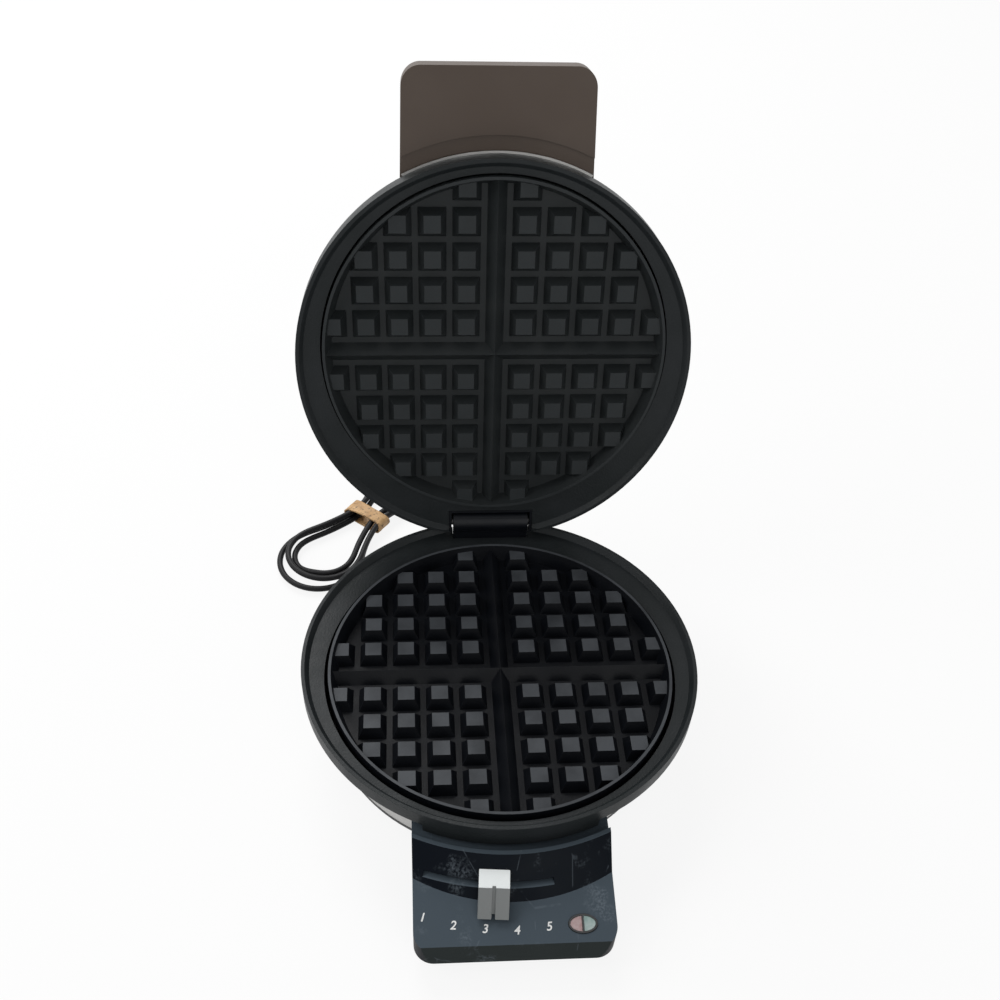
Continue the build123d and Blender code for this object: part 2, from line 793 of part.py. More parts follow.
def dome_section(gap: float) -> Sketch:
    """Half section of the lid's steel dome, grown by a gap, or shrunk by a negative one."""
    radius = skirt_inner - FIT_GAP + gap
    edge = lid_ring_back + FIT_GAP
    top = dome_top_level + gap
    bend = dome_shoulder_radius + gap
    shoulder = top - dome_crown - bend
    half = math.sqrt(0.5)
    reach = radius - bend
    sphere = (reach**2 + dome_crown**2) / (2 * dome_crown)
    drop = sphere - math.sqrt(sphere**2 - (reach / 2) ** 2)
    with BuildSketch() as section:
        with BuildLine():
            Polyline((0, top), (0, edge), (radius, edge), (radius, shoulder))
            ThreePointArc(
                (radius, shoulder),
                (reach + bend * half, shoulder + bend * half),
                (reach, top - dome_crown),
            )
            ThreePointArc((reach, top - dome_crown), (reach / 2, top - drop), (0, top))
        make_face()
    return section.sketch


def dome_form(gap: float) -> Part:
    """Solid form of the dome."""
    with BuildPart() as form:
        with BuildSketch(radial_plane(0)):
            add(dome_section(gap))
        revolve(axis=Axis.Z)
    return form.part


# Steel dome, notched over the hinge block, and the columns that carry the upper plate
with BuildPart() as dome:
    with BuildSketch(radial_plane(0)):
        add(dome_section(0))
        add(dome_section(-shell_wall), mode=Mode.SUBTRACT)
    revolve(axis=Axis.Z)
    with BuildSketch(Plane((0, hinge_y - bracket_ear - BODY_GAP, 0))):
        Rectangle(2 * (pin_half + BODY_GAP), collar_radius, align=(Align.CENTER, Align.MIN))
    extrude(amount=bracket_level + BODY_GAP, mode=Mode.SUBTRACT)
    with BuildSketch(Plane.XZ):
        with Locations(*handle_spots):
            Circle(cover_screw_radius + FIT_GAP)
    extrude(amount=collar_radius, mode=Mode.SUBTRACT)
save_opened(dome.part, "lid_shell")
column_face = Plane((0, -plate_shift, lid_reflector_level + reflector_wall))
with BuildPart() as lid_columns:
    add(columns(column_face, dome_height, screw_head_radius + FIT_GAP))
    add(dome_form(-shell_wall - FIT_GAP), mode=Mode.INTERSECT)
save_opened(lid_columns.part, "lid_spacers")
save_opened(
    screws(upper_pan_face, boss_spots(), reflector_wall + element_radius, plate_screw_radius),
    "lid_screws",
)

# Handle: stepped underside and hollow top


def handle_form(level: float, inset: float, height: float) -> Part:
    """Block with the handle's outline, drawn in by an inset; it starts at the handle's root."""
    root, tip = handle_width / 2 - inset, handle_tip_width / 2 - inset
    front = inset - handle_reach
    with BuildPart() as form:
        with BuildSketch(Plane.XY.offset(level)) as outline:
            Polygon((-root, -handle_root), (-tip, front), (tip, front), (root, -handle_root), align=None)
            fillet(outline.vertices().sort_by(Axis.Y)[:2], handle_corner - inset)
        extrude(amount=height)
    return form.part


with BuildPart() as underside:
    add(handle_form(handle_level, 0, handle_under_thickness))
    with BuildSketch(Plane.XY.offset(handle_level)):
        Circle(handle_step_radius)
    extrude(amount=handle_step, mode=Mode.SUBTRACT)
    add(dome_form(BODY_GAP), mode=Mode.SUBTRACT)
save_opened(underside.part, "handle_underside")
with BuildPart() as grip:
    add(handle_form(handle_split, 0, handle_height))
    fillet(grip.faces().sort_by(Axis.Z)[-1].edges().filter_by(Axis.X).sort_by(Axis.Y)[0], handle_edge)
    add(handle_form(handle_split, handle_wall, handle_height - handle_wall), mode=Mode.SUBTRACT)
    with BuildSketch(Plane.XZ.offset(handle_seat)):
        with Locations(*handle_spots):
            Rectangle(4 * cover_screw_radius, handle_height)
    extrude(amount=handle_boss_length)
    with BuildSketch(Plane.XZ.offset(handle_seat)):
        with Locations(*handle_spots):
            Circle(cover_screw_radius + RUN_GAP)
    extrude(amount=handle_screw_length, mode=Mode.SUBTRACT)
    add(dome_form(BODY_GAP), mode=Mode.SUBTRACT)
save_opened(grip.part, "handle_top")
save_opened(
    screws(Plane.XZ.offset(handle_seat), handle_spots, handle_screw_length, cover_screw_radius),
    "handle_screws",
)

# Strain relief in the lower shell's back
relief_back = math.sqrt(bowl_radius(relief_z) ** 2 - relief_x**2)
relief_inner = relief_back - 2 * shell_wall - relief_flange / 2
relief_end = relief_back + relief_length
rib_step = relief_length / (relief_ribs + 1)
relief_outline = [(0, relief_inner), (relief_flange, relief_inner)]
relief_outline += [(relief_flange, relief_inner + shell_wall), (relief_root, relief_inner + shell_wall)]
for rib in range(relief_ribs):
    rib_y = relief_back + rib_step * (rib + 0.7)
    before = relief_root + (relief_tip - relief_root) * rib / relief_ribs
    after = relief_root + (relief_tip - relief_root) * (rib + 1) / relief_ribs
    relief_outline += [(before, rib_y), (before + rib_rise, rib_y)]
    relief_outline += [(before + rib_rise, rib_y + rib_step / 2), (after, rib_y + rib_step / 2)]
relief_outline += [(relief_tip, relief_end), (0, relief_end)]
with BuildPart() as boot:
    with BuildSketch(Plane((relief_x, 0, relief_z))):
        Polygon(*relief_outline, align=None)
    revolve(axis=Axis((relief_x, 0, relief_z), (0, 1, 0)))
save(boot.part, "strain_relief")

# Mains lead: hank of loops tied at the waist
hank_turn = math.radians(hank_angle)


def hank_outline(angle: float) -> Vector:
    """Outermost loop in the hank's own axes: a round end on each side, drawn in at the waist."""
    to_right = math.cos(angle) > 0
    reach, lobe = (hank_right, hank_right_lobe) if to_right else (hank_left, hank_left_lobe)
    turn = math.radians(hank_shoulder)
    across, middle = abs(reach * math.cos(angle)), reach - lobe
    shoulder = middle - lobe * math.sin(turn)
    if across > shoulder:
        height = math.sqrt(max(0, lobe**2 - (across - middle) ** 2))
    else:
        share = across / shoulder
        rise = (lobe * math.cos(turn) - hank_waist) * share**2 * (3 - 2 * share)
        height = hank_waist + rise + math.tan(turn) * shoulder * share**2 * (share - 1)
    return Vector(reach * math.cos(angle), math.copysign(height, math.sin(angle)))


def hank_point(turn: float) -> Vector:
    """Centre of the cord after a number of turns, in the part's frame."""
    angle = 2 * math.pi * turn
    small = 1e-4
    heading = (hank_outline(angle + small) - hank_outline(angle - small)).normalized()
    fan = hank_fans[min(int(turn), len(hank_fans) - 1)] * min(0, math.cos(angle)) ** 2
    inset = hank_pitch * min(turn, hank_turns - turn) + fan
    spot = hank_outline(angle) + Vector(-heading.Y, heading.X) * inset
    climb = min(1, max(0, (turn - hank_turns / 2) / hank_climb + 0.5))
    level = hank_level + hank_layer * climb * climb * (3 - 2 * climb)
    return Vector(
        hank_centre[0] + spot.X * math.cos(hank_turn) - spot.Y * math.sin(hank_turn),
        hank_centre[1] + spot.X * math.sin(hank_turn) + spot.Y * math.cos(hank_turn),
        level,
    )


def hank_heading(turn: float) -> Vector:
    """Direction of the cord after a number of turns; level at both ends."""
    small = 1e-4
    ahead, behind = min(turn + small, hank_turns), max(turn - small, 0)
    return (hank_point(ahead) - hank_point(behind)).normalized()


def hank_nodes() -> list[float]:
    """Turns at which one biarc ends and the next starts."""
    marks = [0.0]
    while marks[-1] < hank_turns - 1e-6:
        whole = math.floor(marks[-1] + 1e-6)
        ahead = [whole + share for share in (*hank_shares, 1.0) if whole + share > marks[-1] + 1e-6]
        marks.append(min(ahead[0], hank_turns))
    return marks


def biarc(start: Vector, heading: Vector, end: Vector, end_heading: Vector) -> list[Vector]:
    """Three points of each of two arcs that leave and arrive along the given headings."""
    chord = end - start
    both = heading + end_heading
    spread = 2 * (1 - heading.dot(end_heading))
    along = chord.dot(both)
    if spread > 1e-9:
        reach = (-along + math.sqrt(along**2 + spread * chord.dot(chord))) / spread
    else:
        reach = chord.dot(chord) / (4 * chord.dot(end_heading))
    joint = (start + end + (heading - end_heading) * reach) * 0.5
    points = []
    for a, direction, b, sign in ((start, heading, joint, 1), (end, end_heading * -1, joint, -1)):
        span = b - a
        bow = direction - span.normalized() * direction.dot(span.normalized())
        half_angle = direction.get_angle(span)
        rise = span.length / 2 * math.tan(math.radians(half_angle / 2))
        middle = (a + b) * 0.5 + (bow.normalized() * rise if bow.length > 1e-9 else bow)
        points.append((a, middle, b) if sign > 0 else (b, middle, a))
    return points


def tube(path: Wire, diameter: float) -> Part:
    """Round cord swept along a path."""
    with BuildPart() as cord:
        with BuildSketch(Plane(path @ 0, z_dir=path % 0)):
            Circle(diameter / 2)
        sweep(path=path)
    return cord.part


hank_start = hank_point(0) - hank_heading(0) * cord_diameter
hank_end = hank_point(hank_turns) + hank_heading(hank_turns) * cord_diameter
marks = hank_nodes()
with BuildLine() as hank_path:
    Line(hank_start, hank_point(0))
    for first, last in zip(marks, marks[1:]):
        for arc in biarc(hank_point(first), hank_heading(first), hank_point(last), hank_heading(last)):
            ThreePointArc(*arc)
    Line(hank_point(hank_turns), hank_end)
save(tube(hank_path.wires()[0], cord_diameter), "power_cord_hank")

# Free stretches of the lead
lead_points = [
    Vector(relief_x, relief_end, relief_z),
    Vector(relief_x, 132, relief_z),
    Vector(14, 148, 12),
    Vector(0, 161, 6),
    hank_start - hank_heading(0) * arrival_run,
    hank_start,
]
tail_points = [
    hank_end,
    hank_end + hank_heading(hank_turns) * leaving_run,
    Vector(-61, 217, 7),
    Vector(-62, 233, 7),
]


def free_cord(points: list[Vector], name: str) -> Wire:
    """Path of straight runs joined by the largest tangent arcs their runs allow."""
    runs = [b - a for a, b in zip(points, points[1:])]
    bends = [math.radians(a.get_angle(b)) for a, b in zip(runs, runs[1:])]
    shorter = [min(a.length, b.length) for a, b in zip(runs, runs[1:])]
    radii = [arc_share * run / math.tan(bend / 2) for run, bend in zip(shorter, bends)]
    with BuildLine() as path:
        FilletPolyline(*points, radius=radii)
    print(name, "length", round(path.wires()[0].length, 1), "radii", [round(r, 1) for r in radii])
    return path.wires()[0]


lead_path = free_cord(lead_points, "lead")
save(tube(lead_path, cord_diameter), "power_cord_lead")
tail_path = free_cord(tail_points, "tail")
save(tube(tail_path, cord_diameter), "power_cord_tail")

# Least gap of the hank to itself, on points along its path
gap_turns = [k / gap_density for k in range(int(hank_turns * gap_density) + 1)]
gap_points = [(hank_point(turn), turn) for turn in gap_turns]
least_gap = min(
    (a - b).length - cord_diameter
    for i, (a, s) in enumerate(gap_points)
    for b, t in gap_points[i + 1 :]
    if t - s > 0.2
)
print("hank length", round(hank_path.wires()[0].length, 1), "least gap", round(least_gap, 2))

# Plug with its two blades, lying where the lead ends
plug_heading = (tail_points[-1] - tail_points[-2]).normalized()
plug_face = Plane(tail_points[-1], x_dir=Vector(0, 0, 1).cross(plug_heading), z_dir=plug_heading)
with BuildPart() as plug:
    with BuildSketch(plug_face):
        RectangleRounded(2 * cord_diameter, 2 * cord_diameter, cord_diameter / 2)
    with BuildSketch(plug_face.offset(plug_length * 0.6)):
        RectangleRounded(plug_width, plug_height, plug_height / 4)
    loft()
    with BuildSketch(plug_face.offset(plug_length * 0.6)):
        RectangleRounded(plug_width, plug_height, plug_height / 4)
    extrude(amount=plug_length * 0.4)
    with BuildSketch(plug_face.offset(plug_length)):
        with Locations((blade_spacing / 2, 0), (-blade_spacing / 2, 0)):
            Rectangle(blade_thickness + RUN_GAP, blade_width + RUN_GAP)
    extrude(amount=-plug_length * 0.3, mode=Mode.SUBTRACT)
save(plug.part, "plug_body")
with BuildPart() as blades:
    with BuildSketch(plug_face.offset(plug_length * 0.7)):
        with Locations((blade_spacing / 2, 0), (-blade_spacing / 2, 0)):
            Rectangle(blade_thickness, blade_width)
    extrude(amount=plug_length * 0.3 + blade_length)
save(blades.part, "plug_blades")

# Elastic band round the hank's waist
band_inner = (
    2 * hank_waist + cord_diameter + 2 * band_gap,
    hank_layer + cord_diameter + 2 * band_gap,
)
band_plane = Plane(
    (hank_centre[0], hank_centre[1], hank_level + hank_layer / 2),
    x_dir=(-math.sin(hank_turn), math.cos(hank_turn), 0),
    z_dir=(math.cos(hank_turn), math.sin(hank_turn), 0),
)
with BuildPart() as band:
    with BuildSketch(band_plane):
        RectangleRounded(band_inner[0] + 2 * band_wall, band_inner[1] + 2 * band_wall, cord_diameter)
        RectangleRounded(*band_inner, cord_diameter - band_wall, mode=Mode.SUBTRACT)
    extrude(amount=band_width / 2, both=True)
save(band.part, "cord_band")
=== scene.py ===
"""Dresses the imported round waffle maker: finishes, softened edges, scale numerals and mains lead.

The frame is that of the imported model: the origin is the centre of the round base on the worktop,
-Y is towards the user, +Y towards the hinge, +Z up, and the lid is stored open. Shapes are given in
millimetres and become metres through MM. Finishes, lamps and the floor are given in metres.
"""

import logging
import math
from dataclasses import dataclass, field
from enum import Enum

import bmesh
import bpy
from mathutils import Matrix, Vector

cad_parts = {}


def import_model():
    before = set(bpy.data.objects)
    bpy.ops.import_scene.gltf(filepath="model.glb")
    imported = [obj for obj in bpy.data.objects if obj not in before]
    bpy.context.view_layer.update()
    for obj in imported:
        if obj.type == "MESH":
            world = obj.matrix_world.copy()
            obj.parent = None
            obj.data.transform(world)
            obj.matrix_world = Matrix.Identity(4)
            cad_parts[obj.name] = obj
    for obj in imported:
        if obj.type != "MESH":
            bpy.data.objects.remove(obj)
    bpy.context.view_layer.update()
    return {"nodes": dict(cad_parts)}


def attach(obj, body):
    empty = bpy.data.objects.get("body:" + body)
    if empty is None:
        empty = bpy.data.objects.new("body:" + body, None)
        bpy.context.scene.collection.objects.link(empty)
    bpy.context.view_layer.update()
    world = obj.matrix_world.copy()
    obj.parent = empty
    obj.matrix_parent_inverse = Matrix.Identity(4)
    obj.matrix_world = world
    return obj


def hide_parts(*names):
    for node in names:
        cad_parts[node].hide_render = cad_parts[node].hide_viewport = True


LOG = logging.getLogger("waffle_maker")
MM = 0.001
Colour = tuple[float, float, float]
Point = tuple[float, float, float]
Range = tuple[float, float]

# Where most of a cloud's values lie
CLOUD_SPAN: Range = (0.3, 0.7)
WHITE = (1, 1, 1, 1)

# The lid's hinge, its swing from closed to open in degrees, and a post's top on the closed upper plate
HINGE: Point = (0, 90.2, 54.5)
LID_SWING = 103.9
UPPER_POST: Point = (0, -5.6, 50.9)


class Body(Enum):
    """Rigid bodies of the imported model."""

    BASE = "base"
    CONTROL = "control"
    LID = "lid"


class Slot(Enum):
    """Material slots of the record."""

    CHARCOAL = "moulded_charcoal"
    HOUSING = "housing_plastic"
    HANDLE = "handle_plastic"
    CASTING = "coated_casting"
    STAINLESS = "brushed_stainless"
    SILVER = "silver_plastic"
    BEZEL = "bezel_plastic"
    RED = "red_clear"
    GREEN = "green_clear"
    NEON = "neon_glass"
    ZINC = "zinc_steel"
    CERAMIC = "ceramic"
    SHEATH = "element_sheath"
    PAN = "pan_aluminium"
    FOOT = "foot_rubber"
    CORD = "cord_rubber"
    BLADE = "plated_brass"
    BAND = "band_rubber"


class Brushing(Enum):
    """Direction of a metal's fine lines, as the stretch of its grain along each axis."""

    NONE = (1, 1, 1)
    ROUND = (0.02, 0.02, 1)
    STRAIGHT = (1, 0.03, 1)


@dataclass
class Nodes:
    """Short way to add and join the nodes of one material or of the world."""

    owner: bpy.types.ID

    def add(self, kind: str, **settings: object) -> bpy.types.Node:
        """Adds a node.

        Args:
            kind: Blender's node type, without its "ShaderNode" prefix.
            settings: Properties of the node to set.

        Returns:
            The new node.
        """
        node = self.owner.node_tree.nodes.new("ShaderNode" + kind)
        for name, value in settings.items():
            setattr(node, name, value)
        return node

    def join(self, source: bpy.types.NodeSocket, target: bpy.types.NodeSocket) -> None:
        """Links an output to an input."""
        self.owner.node_tree.links.new(source, target)

    def place(self) -> bpy.types.NodeSocket:
        """Returns the piece's own coordinates, in metres."""
        return self.add("TexCoord").outputs["Object"]

    def noise(
        self, size: float, detail: float = 3, stretch: Point = (1, 1, 1), shift: float = 0
    ) -> bpy.types.NodeSocket:
        """Adds a cloud of light and dark.

        Args:
            size: Width of one cloud in metres.
            detail: Octaves of finer clouds.
            stretch: Scale along each axis; less than one draws the clouds out.
            shift: Moves the pattern, so that two clouds of one size differ.

        Returns:
            The cloud's value, about 0.3 to 0.7.
        """
        mapping = self.add("Mapping")
        mapping.inputs["Scale"].default_value = stretch
        mapping.inputs["Location"].default_value = (shift, shift, shift)
        self.join(self.place(), mapping.inputs["Vector"])
        texture = self.add("TexNoise")
        texture.inputs["Scale"].default_value = 1 / size
        texture.inputs["Detail"].default_value = detail
        self.join(mapping.outputs[0], texture.inputs["Vector"])
        return texture.outputs[0]

    def span(
        self, value: bpy.types.NodeSocket, low: float, high: float, to_low: float = 0, to_high: float = 1
    ) -> bpy.types.NodeSocket:
        """Maps a value's range onto another, and holds it at both ends.

        Args:
            value: The output to map.
            low: Start of its range.
            high: End of its range.
            to_low: What the start becomes.
            to_high: What the end becomes.

        Returns:
            The mapped value.
        """
        node = self.add("MapRange")
        for slot, number in zip((1, 2, 3, 4), (low, high, to_low, to_high)):
            node.inputs[slot].default_value = number
        self.join(value, node.inputs[0])
        return node.outputs[0]

    def blend(self, share: bpy.types.NodeSocket, first: object, second: object) -> bpy.types.NodeSocket:
        """Mixes two colours.

        Args:
            share: How much of the second shows.
            first: A colour or an output.
            second: A colour or an output.

        Returns:
            The mixed colour.
        """
        node = self.add("Mix", data_type="RGBA")
        self.join(share, node.inputs[0])
        for slot, colour in ((6, first), (7, second)):
            if isinstance(colour, tuple):
                node.inputs[slot].default_value = (*colour, 1)
            else:
                self.join(colour, node.inputs[slot])
        return node.outputs[2]

    def maths(self, operation: str, first: object, second: object = 0.0) -> bpy.types.NodeSocket:
        """Combines two values.

        Args:
            operation: Blender's name of the operation.
            first: A number or an output.
            second: A number or an output.

        Returns:
            The result.
        """
        node = self.add("Math", operation=operation)
        for slot, value in enumerate((first, second)):
            if isinstance(value, (int, float)):
                node.inputs[slot].default_value = value
            else:
                self.join(value, node.inputs[slot])
        return node.outputs[0]

    def measured(self, vector: bpy.types.NodeSocket, direction: Point) -> bpy.types.NodeSocket:
        """Measures a vector along a direction.

        Args:
            vector: The output to measure.
            direction: The direction, of length 1.

        Returns:
            The length along it.
        """
        node = self.add("VectorMath", operation="DOT_PRODUCT")
        node.inputs[1].default_value = direction
        self.join(vector, node.inputs[0])
        return node.outputs["Value"]

    def along(self, direction: Point) -> bpy.types.NodeSocket:
        """Returns how far a point lies along a direction from the origin."""
        return self.measured(self.place(), direction)

    def facing(self, direction: Point) -> bpy.types.NodeSocket:
        """Compares the surface's own normal with a direction.

        Args:
            direction: The direction in the piece's own axes.

        Returns:
            How squarely the surface faces it, from -1 to 1.
        """
        turned = self.add("VectorTransform", vector_type="NORMAL", convert_from="WORLD", convert_to="OBJECT")
        self.join(self.add("NewGeometry").outputs["Normal"], turned.inputs[0])
        return self.measured(turned.outputs[0], direction)

    def bump(
        self, height: bpy.types.NodeSocket, depth: float, under: bpy.types.NodeSocket | None = None
    ) -> bpy.types.NodeSocket:
        """Adds small relief.

        Args:
            height: The relief, 0 to 1.
            depth: Its depth in metres.
            under: Relief that this one lies on.

        Returns:
            The bent normal.
        """
        node = self.add("Bump")
        node.inputs["Strength"].default_value = 1
        node.inputs["Distance"].default_value = depth
        self.join(height, node.inputs["Height"])
        if under is not None:
            self.join(under, node.inputs["Normal"])
        return node.outputs[0]


@dataclass(frozen=True)
class Finish:
    """Surface of one kind, with clouds of colour, uneven gloss and fine grain."""

    name: str
    slot: Slot
    colour: Colour
    cloud: Colour
    roughness: float
    unevenness: float = 0.06
    cloud_size: float = 0.03
    cloud_edge: Range = (0.35, 0.65)
    gloss_shift: float = 3.0
    grain_size: float = 0.0008
    grain_depth: float = 0.00003
    metallic: float = 0.0
    coat: float = 0.0
    coat_roughness: float = 0.15
    specular: float = 0.5
    brushing: Brushing = Brushing.NONE

    def build(self) -> bpy.types.Material:
        """Makes the material.

        Returns:
            The new material.
        """
        material = bpy.data.materials.new(self.name)
        material.use_nodes = True
        nodes = Nodes(material)
        shader = material.node_tree.nodes["Principled BSDF"]
        shader.inputs["Metallic"].default_value = self.metallic
        shader.inputs["Specular IOR Level"].default_value = self.specular
        shader.inputs["Coat Weight"].default_value = self.coat
        shader.inputs["Coat Roughness"].default_value = self.coat_roughness
        nodes.join(self.paint(nodes), shader.inputs["Base Color"])
        low, high = self.roughness - self.unevenness, self.roughness + self.unevenness
        uneven = nodes.noise(self.cloud_size / 2, shift=self.gloss_shift)
        nodes.join(nodes.span(uneven, *CLOUD_SPAN, low, high), shader.inputs["Roughness"])
        nodes.join(self.relief(nodes), shader.inputs["Normal"])
        self.special(shader)
        return material

    def paint(self, nodes: Nodes) -> bpy.types.NodeSocket:
        """Returns the colour over the surface."""
        share = nodes.span(nodes.noise(self.cloud_size), *self.cloud_edge)
        return nodes.blend(share, self.colour, self.cloud)

    def relief(self, nodes: Nodes) -> bpy.types.NodeSocket:
        """Returns the normal with the grain or the brushed lines."""
        lines = nodes.noise(self.grain_size, detail=2, stretch=self.brushing.value)
        return nodes.bump(lines, self.grain_depth)

    def special(self, shader: bpy.types.Node) -> None:
        """Sets what only this finish has."""


@dataclass(frozen=True)
class CastingFinish(Finish):
    """Dark release coating with a patchy painted highlight on the flat tops of the posts."""

    normal: Point = (0, 0, 1)
    top: float = 45.6 * MM
    # Painted highlight: the paler colour of the posts' flat tops, and how far under the tops it starts and is
    # full.
    rubbing_and_painted_highlight: Colour = (0.034, 0.038, 0.042)
    painted_highlight_from: float = 0.9 * MM
    painted_highlight_full: float = 0.1 * MM
    flatness: Range = (0.7, 0.97)
    patch_size: float = 0.02
    patch_edge: Range = (0.25, 0.6)
    least: float = 0.45

    def paint(self, nodes: Nodes) -> bpy.types.NodeSocket:
        """Paints a patchy highlight where the coating faces out near the posts' tops.

        Args:
            nodes: The material's nodes.

        Returns:
            The coating's colour.
        """
        # Painted highlight: faces that look out, just under the posts' tops, are painted paler in patches.
        level = nodes.span(nodes.along(self.normal), self.top - self.painted_highlight_from, self.top - self.painted_highlight_full)
        flat = nodes.span(nodes.facing(self.normal), *self.flatness)
        patchy = nodes.span(nodes.noise(self.patch_size, detail=5), *self.patch_edge, self.least, 1)
        share = nodes.maths("MULTIPLY", nodes.maths("MULTIPLY", level, flat), patchy)
        return nodes.blend(share, super().paint(nodes), self.rubbing_and_painted_highlight)


@dataclass(frozen=True)
class ScuffedFinish(Finish):
    """Moulded plastic with worn patches and a few fine scratches; where set, painted light makes faces that
    look up and faces that look to the front paler.
    """

    scuff: Colour = (0.055, 0.068, 0.082)
    # Painted light: paler colours for faces that look up and for faces that look to the front, for how light
    # falls on them.
    painted_top_light: Colour | None = None
    painted_top_light_edge: Range = (0.84, 0.95)
    painted_front_light: Colour | None = None
    painted_front_light_edge: Range = (0.85, 0.97)
    patch_size: float = 0.018
    patch_shift: float = 0.37
    least: float = 0.56
    fading: float = 0.2
    speck_size: float = 0.0011
    speck_edge: Range = (0.4, 0.7)
    scratches: float = 0.25
    scratch_density: float = 45.0
    scratch_turn: Point = (0.3, 0.2, 0.5)
    scratch_stretch: Point = (1, 0.35, 1)
    scratch_width: Range = (0.004, 0.012)
    break_size: float = 0.012
    break_shift: float = 1.7
    break_edge: Range = (0.55, 0.6)

    def paint(self, nodes: Nodes) -> bpy.types.NodeSocket:
        """Makes the plastic's colour with its scuffs on it, and with painted light by the way it faces.

        Args:
            nodes: The material's nodes.

        Returns:
            The colour.
        """
        worn = nodes.maths("MAXIMUM", self.rubbing_and_painted_highlight(nodes), self.scratched(nodes))
        plain = super().paint(nodes)
        # Painted light: front faces and faces that look up are painted paler.
        if self.painted_front_light is not None:
            plain = nodes.blend(nodes.span(nodes.facing((0, -1, 0)), *self.painted_front_light_edge), plain, self.painted_front_light)
        if self.painted_top_light is not None:
            plain = nodes.blend(nodes.span(nodes.facing((0, 0, 1)), *self.painted_top_light_edge), plain, self.painted_top_light)
        return nodes.blend(worn, plain, self.scuff)

    def rubbing_and_painted_highlight(self, nodes: Nodes) -> bpy.types.NodeSocket:
        """Makes the worn patches.

        Args:
            nodes: The material's nodes.

        Returns:
            How worn a spot is, 0 to 1.
        """
        cloud = nodes.noise(self.patch_size, detail=6, shift=self.patch_shift)
        patch = nodes.span(cloud, self.least, self.least + self.fading)
        speck = nodes.span(nodes.noise(self.speck_size, detail=2), *self.speck_edge)
        return nodes.maths("MULTIPLY", patch, speck)

    def scratched(self, nodes: Nodes) -> bpy.types.NodeSocket:
        """Makes thin scratches that break off.

        Args:
            nodes: The material's nodes.

        Returns:
            How scratched a spot is, from 0 to the finish's own scratches.
        """
        line = nodes.add("TexVoronoi", feature="DISTANCE_TO_EDGE")
        line.inputs["Scale"].default_value = self.scratch_density
        line.inputs["Randomness"].default_value = 1
        warp = nodes.add("Mapping")
        warp.inputs["Rotation"].default_value = self.scratch_turn
        warp.inputs["Scale"].default_value = self.scratch_stretch
        nodes.join(nodes.place(), warp.inputs[0])
        nodes.join(warp.outputs[0], line.inputs["Vector"])
        thin = nodes.span(line.outputs[0], *self.scratch_width, self.scratches, 0)
        broken = nodes.span(nodes.noise(self.break_size, shift=self.break_shift), *self.break_edge)
        return nodes.maths("MULTIPLY", thin, broken)


@dataclass(frozen=True)
class SatinFinish(Finish):
    """Silver paint with painted light: pale where it faces up and greyer on its sides."""

    # Painted shade: the greyer colour of the faces that do not look up.
    side: Colour = (0.17, 0.18, 0.18)
    painted_light_top_edge: Range = (0.8, 0.95)

    def paint(self, nodes: Nodes) -> bpy.types.NodeSocket:
        """Returns the paint's colour, with painted light and shade by the way it faces."""
        up = nodes.span(nodes.facing((0, 0, 1)), *self.painted_light_top_edge)
        return nodes.blend(up, self.side, super().paint(nodes))


@dataclass(frozen=True)
class ClearFinish(Finish):
    """Tinted clear plastic or glass that lets a part of the light through."""

    clearness: float = 0.25
    bending: float = 1.49

    def special(self, shader: bpy.types.Node) -> None:
        """Lets light through and bends it."""
        shader.inputs["Transmission Weight"].default_value = self.clearness
        shader.inputs["IOR"].default_value = self.bending


@dataclass(frozen=True)
class CreasedFinish(Finish):
    """Tan elastic with small dark streaks of painted shade in its creases."""

    # Painted shade: the dark colour laid into the creases, where shade falls.
    crease: Colour = (0.1, 0.055, 0.02)
    crease_size: float = 0.0016
    crease_stretch: Point = (1, 1, 0.4)
    crease_edge: Range = (0.55, 0.7)

    def paint(self, nodes: Nodes) -> bpy.types.NodeSocket:
        """Returns tan with painted shade in the creases."""
        painted_crease_shade = nodes.span(nodes.noise(self.crease_size, stretch=self.crease_stretch), *self.crease_edge)
        return nodes.blend(painted_crease_shade, super().paint(nodes), self.crease)


def opened(point: Point) -> Vector:
    """Swings a point of the closed lid open.

    Args:
        point: The point in millimetres, lid closed.

    Returns:
        The point in metres, lid open.
    """
    hinge = Vector(HINGE)
    turn = Matrix.Rotation(math.radians(-LID_SWING), 3, "X")
    return (turn @ (Vector(point) - hinge) + hinge) * MM


def opened_direction(direction: Point) -> Point:
    """Swings a direction of the closed lid open."""
    return tuple(Matrix.Rotation(math.radians(-LID_SWING), 3, "X") @ Vector(direction))


UPPER_NORMAL = opened_direction((0, 0, -1))
UPPER_TOP = opened(UPPER_POST).dot(Vector(UPPER_NORMAL))

CHARCOAL = Finish("charcoal_moulding", Slot.CHARCOAL, (0.014, 0.017, 0.018), (0.020, 0.023, 0.025), 0.42,
                  grain_size=0.0011, grain_depth=0.00012, specular=0.15)
# Painted shade: the hinge block and frame take the collars' charcoal moulding in a far darker colour, for the
# shade at the hinge.
PAINTED_SHADE_CHARCOAL = Finish("painted_shade_charcoal", Slot.CHARCOAL, (0.003, 0.004, 0.006), (0.005, 0.006, 0.008), 0.42,
                     specular=0.15)
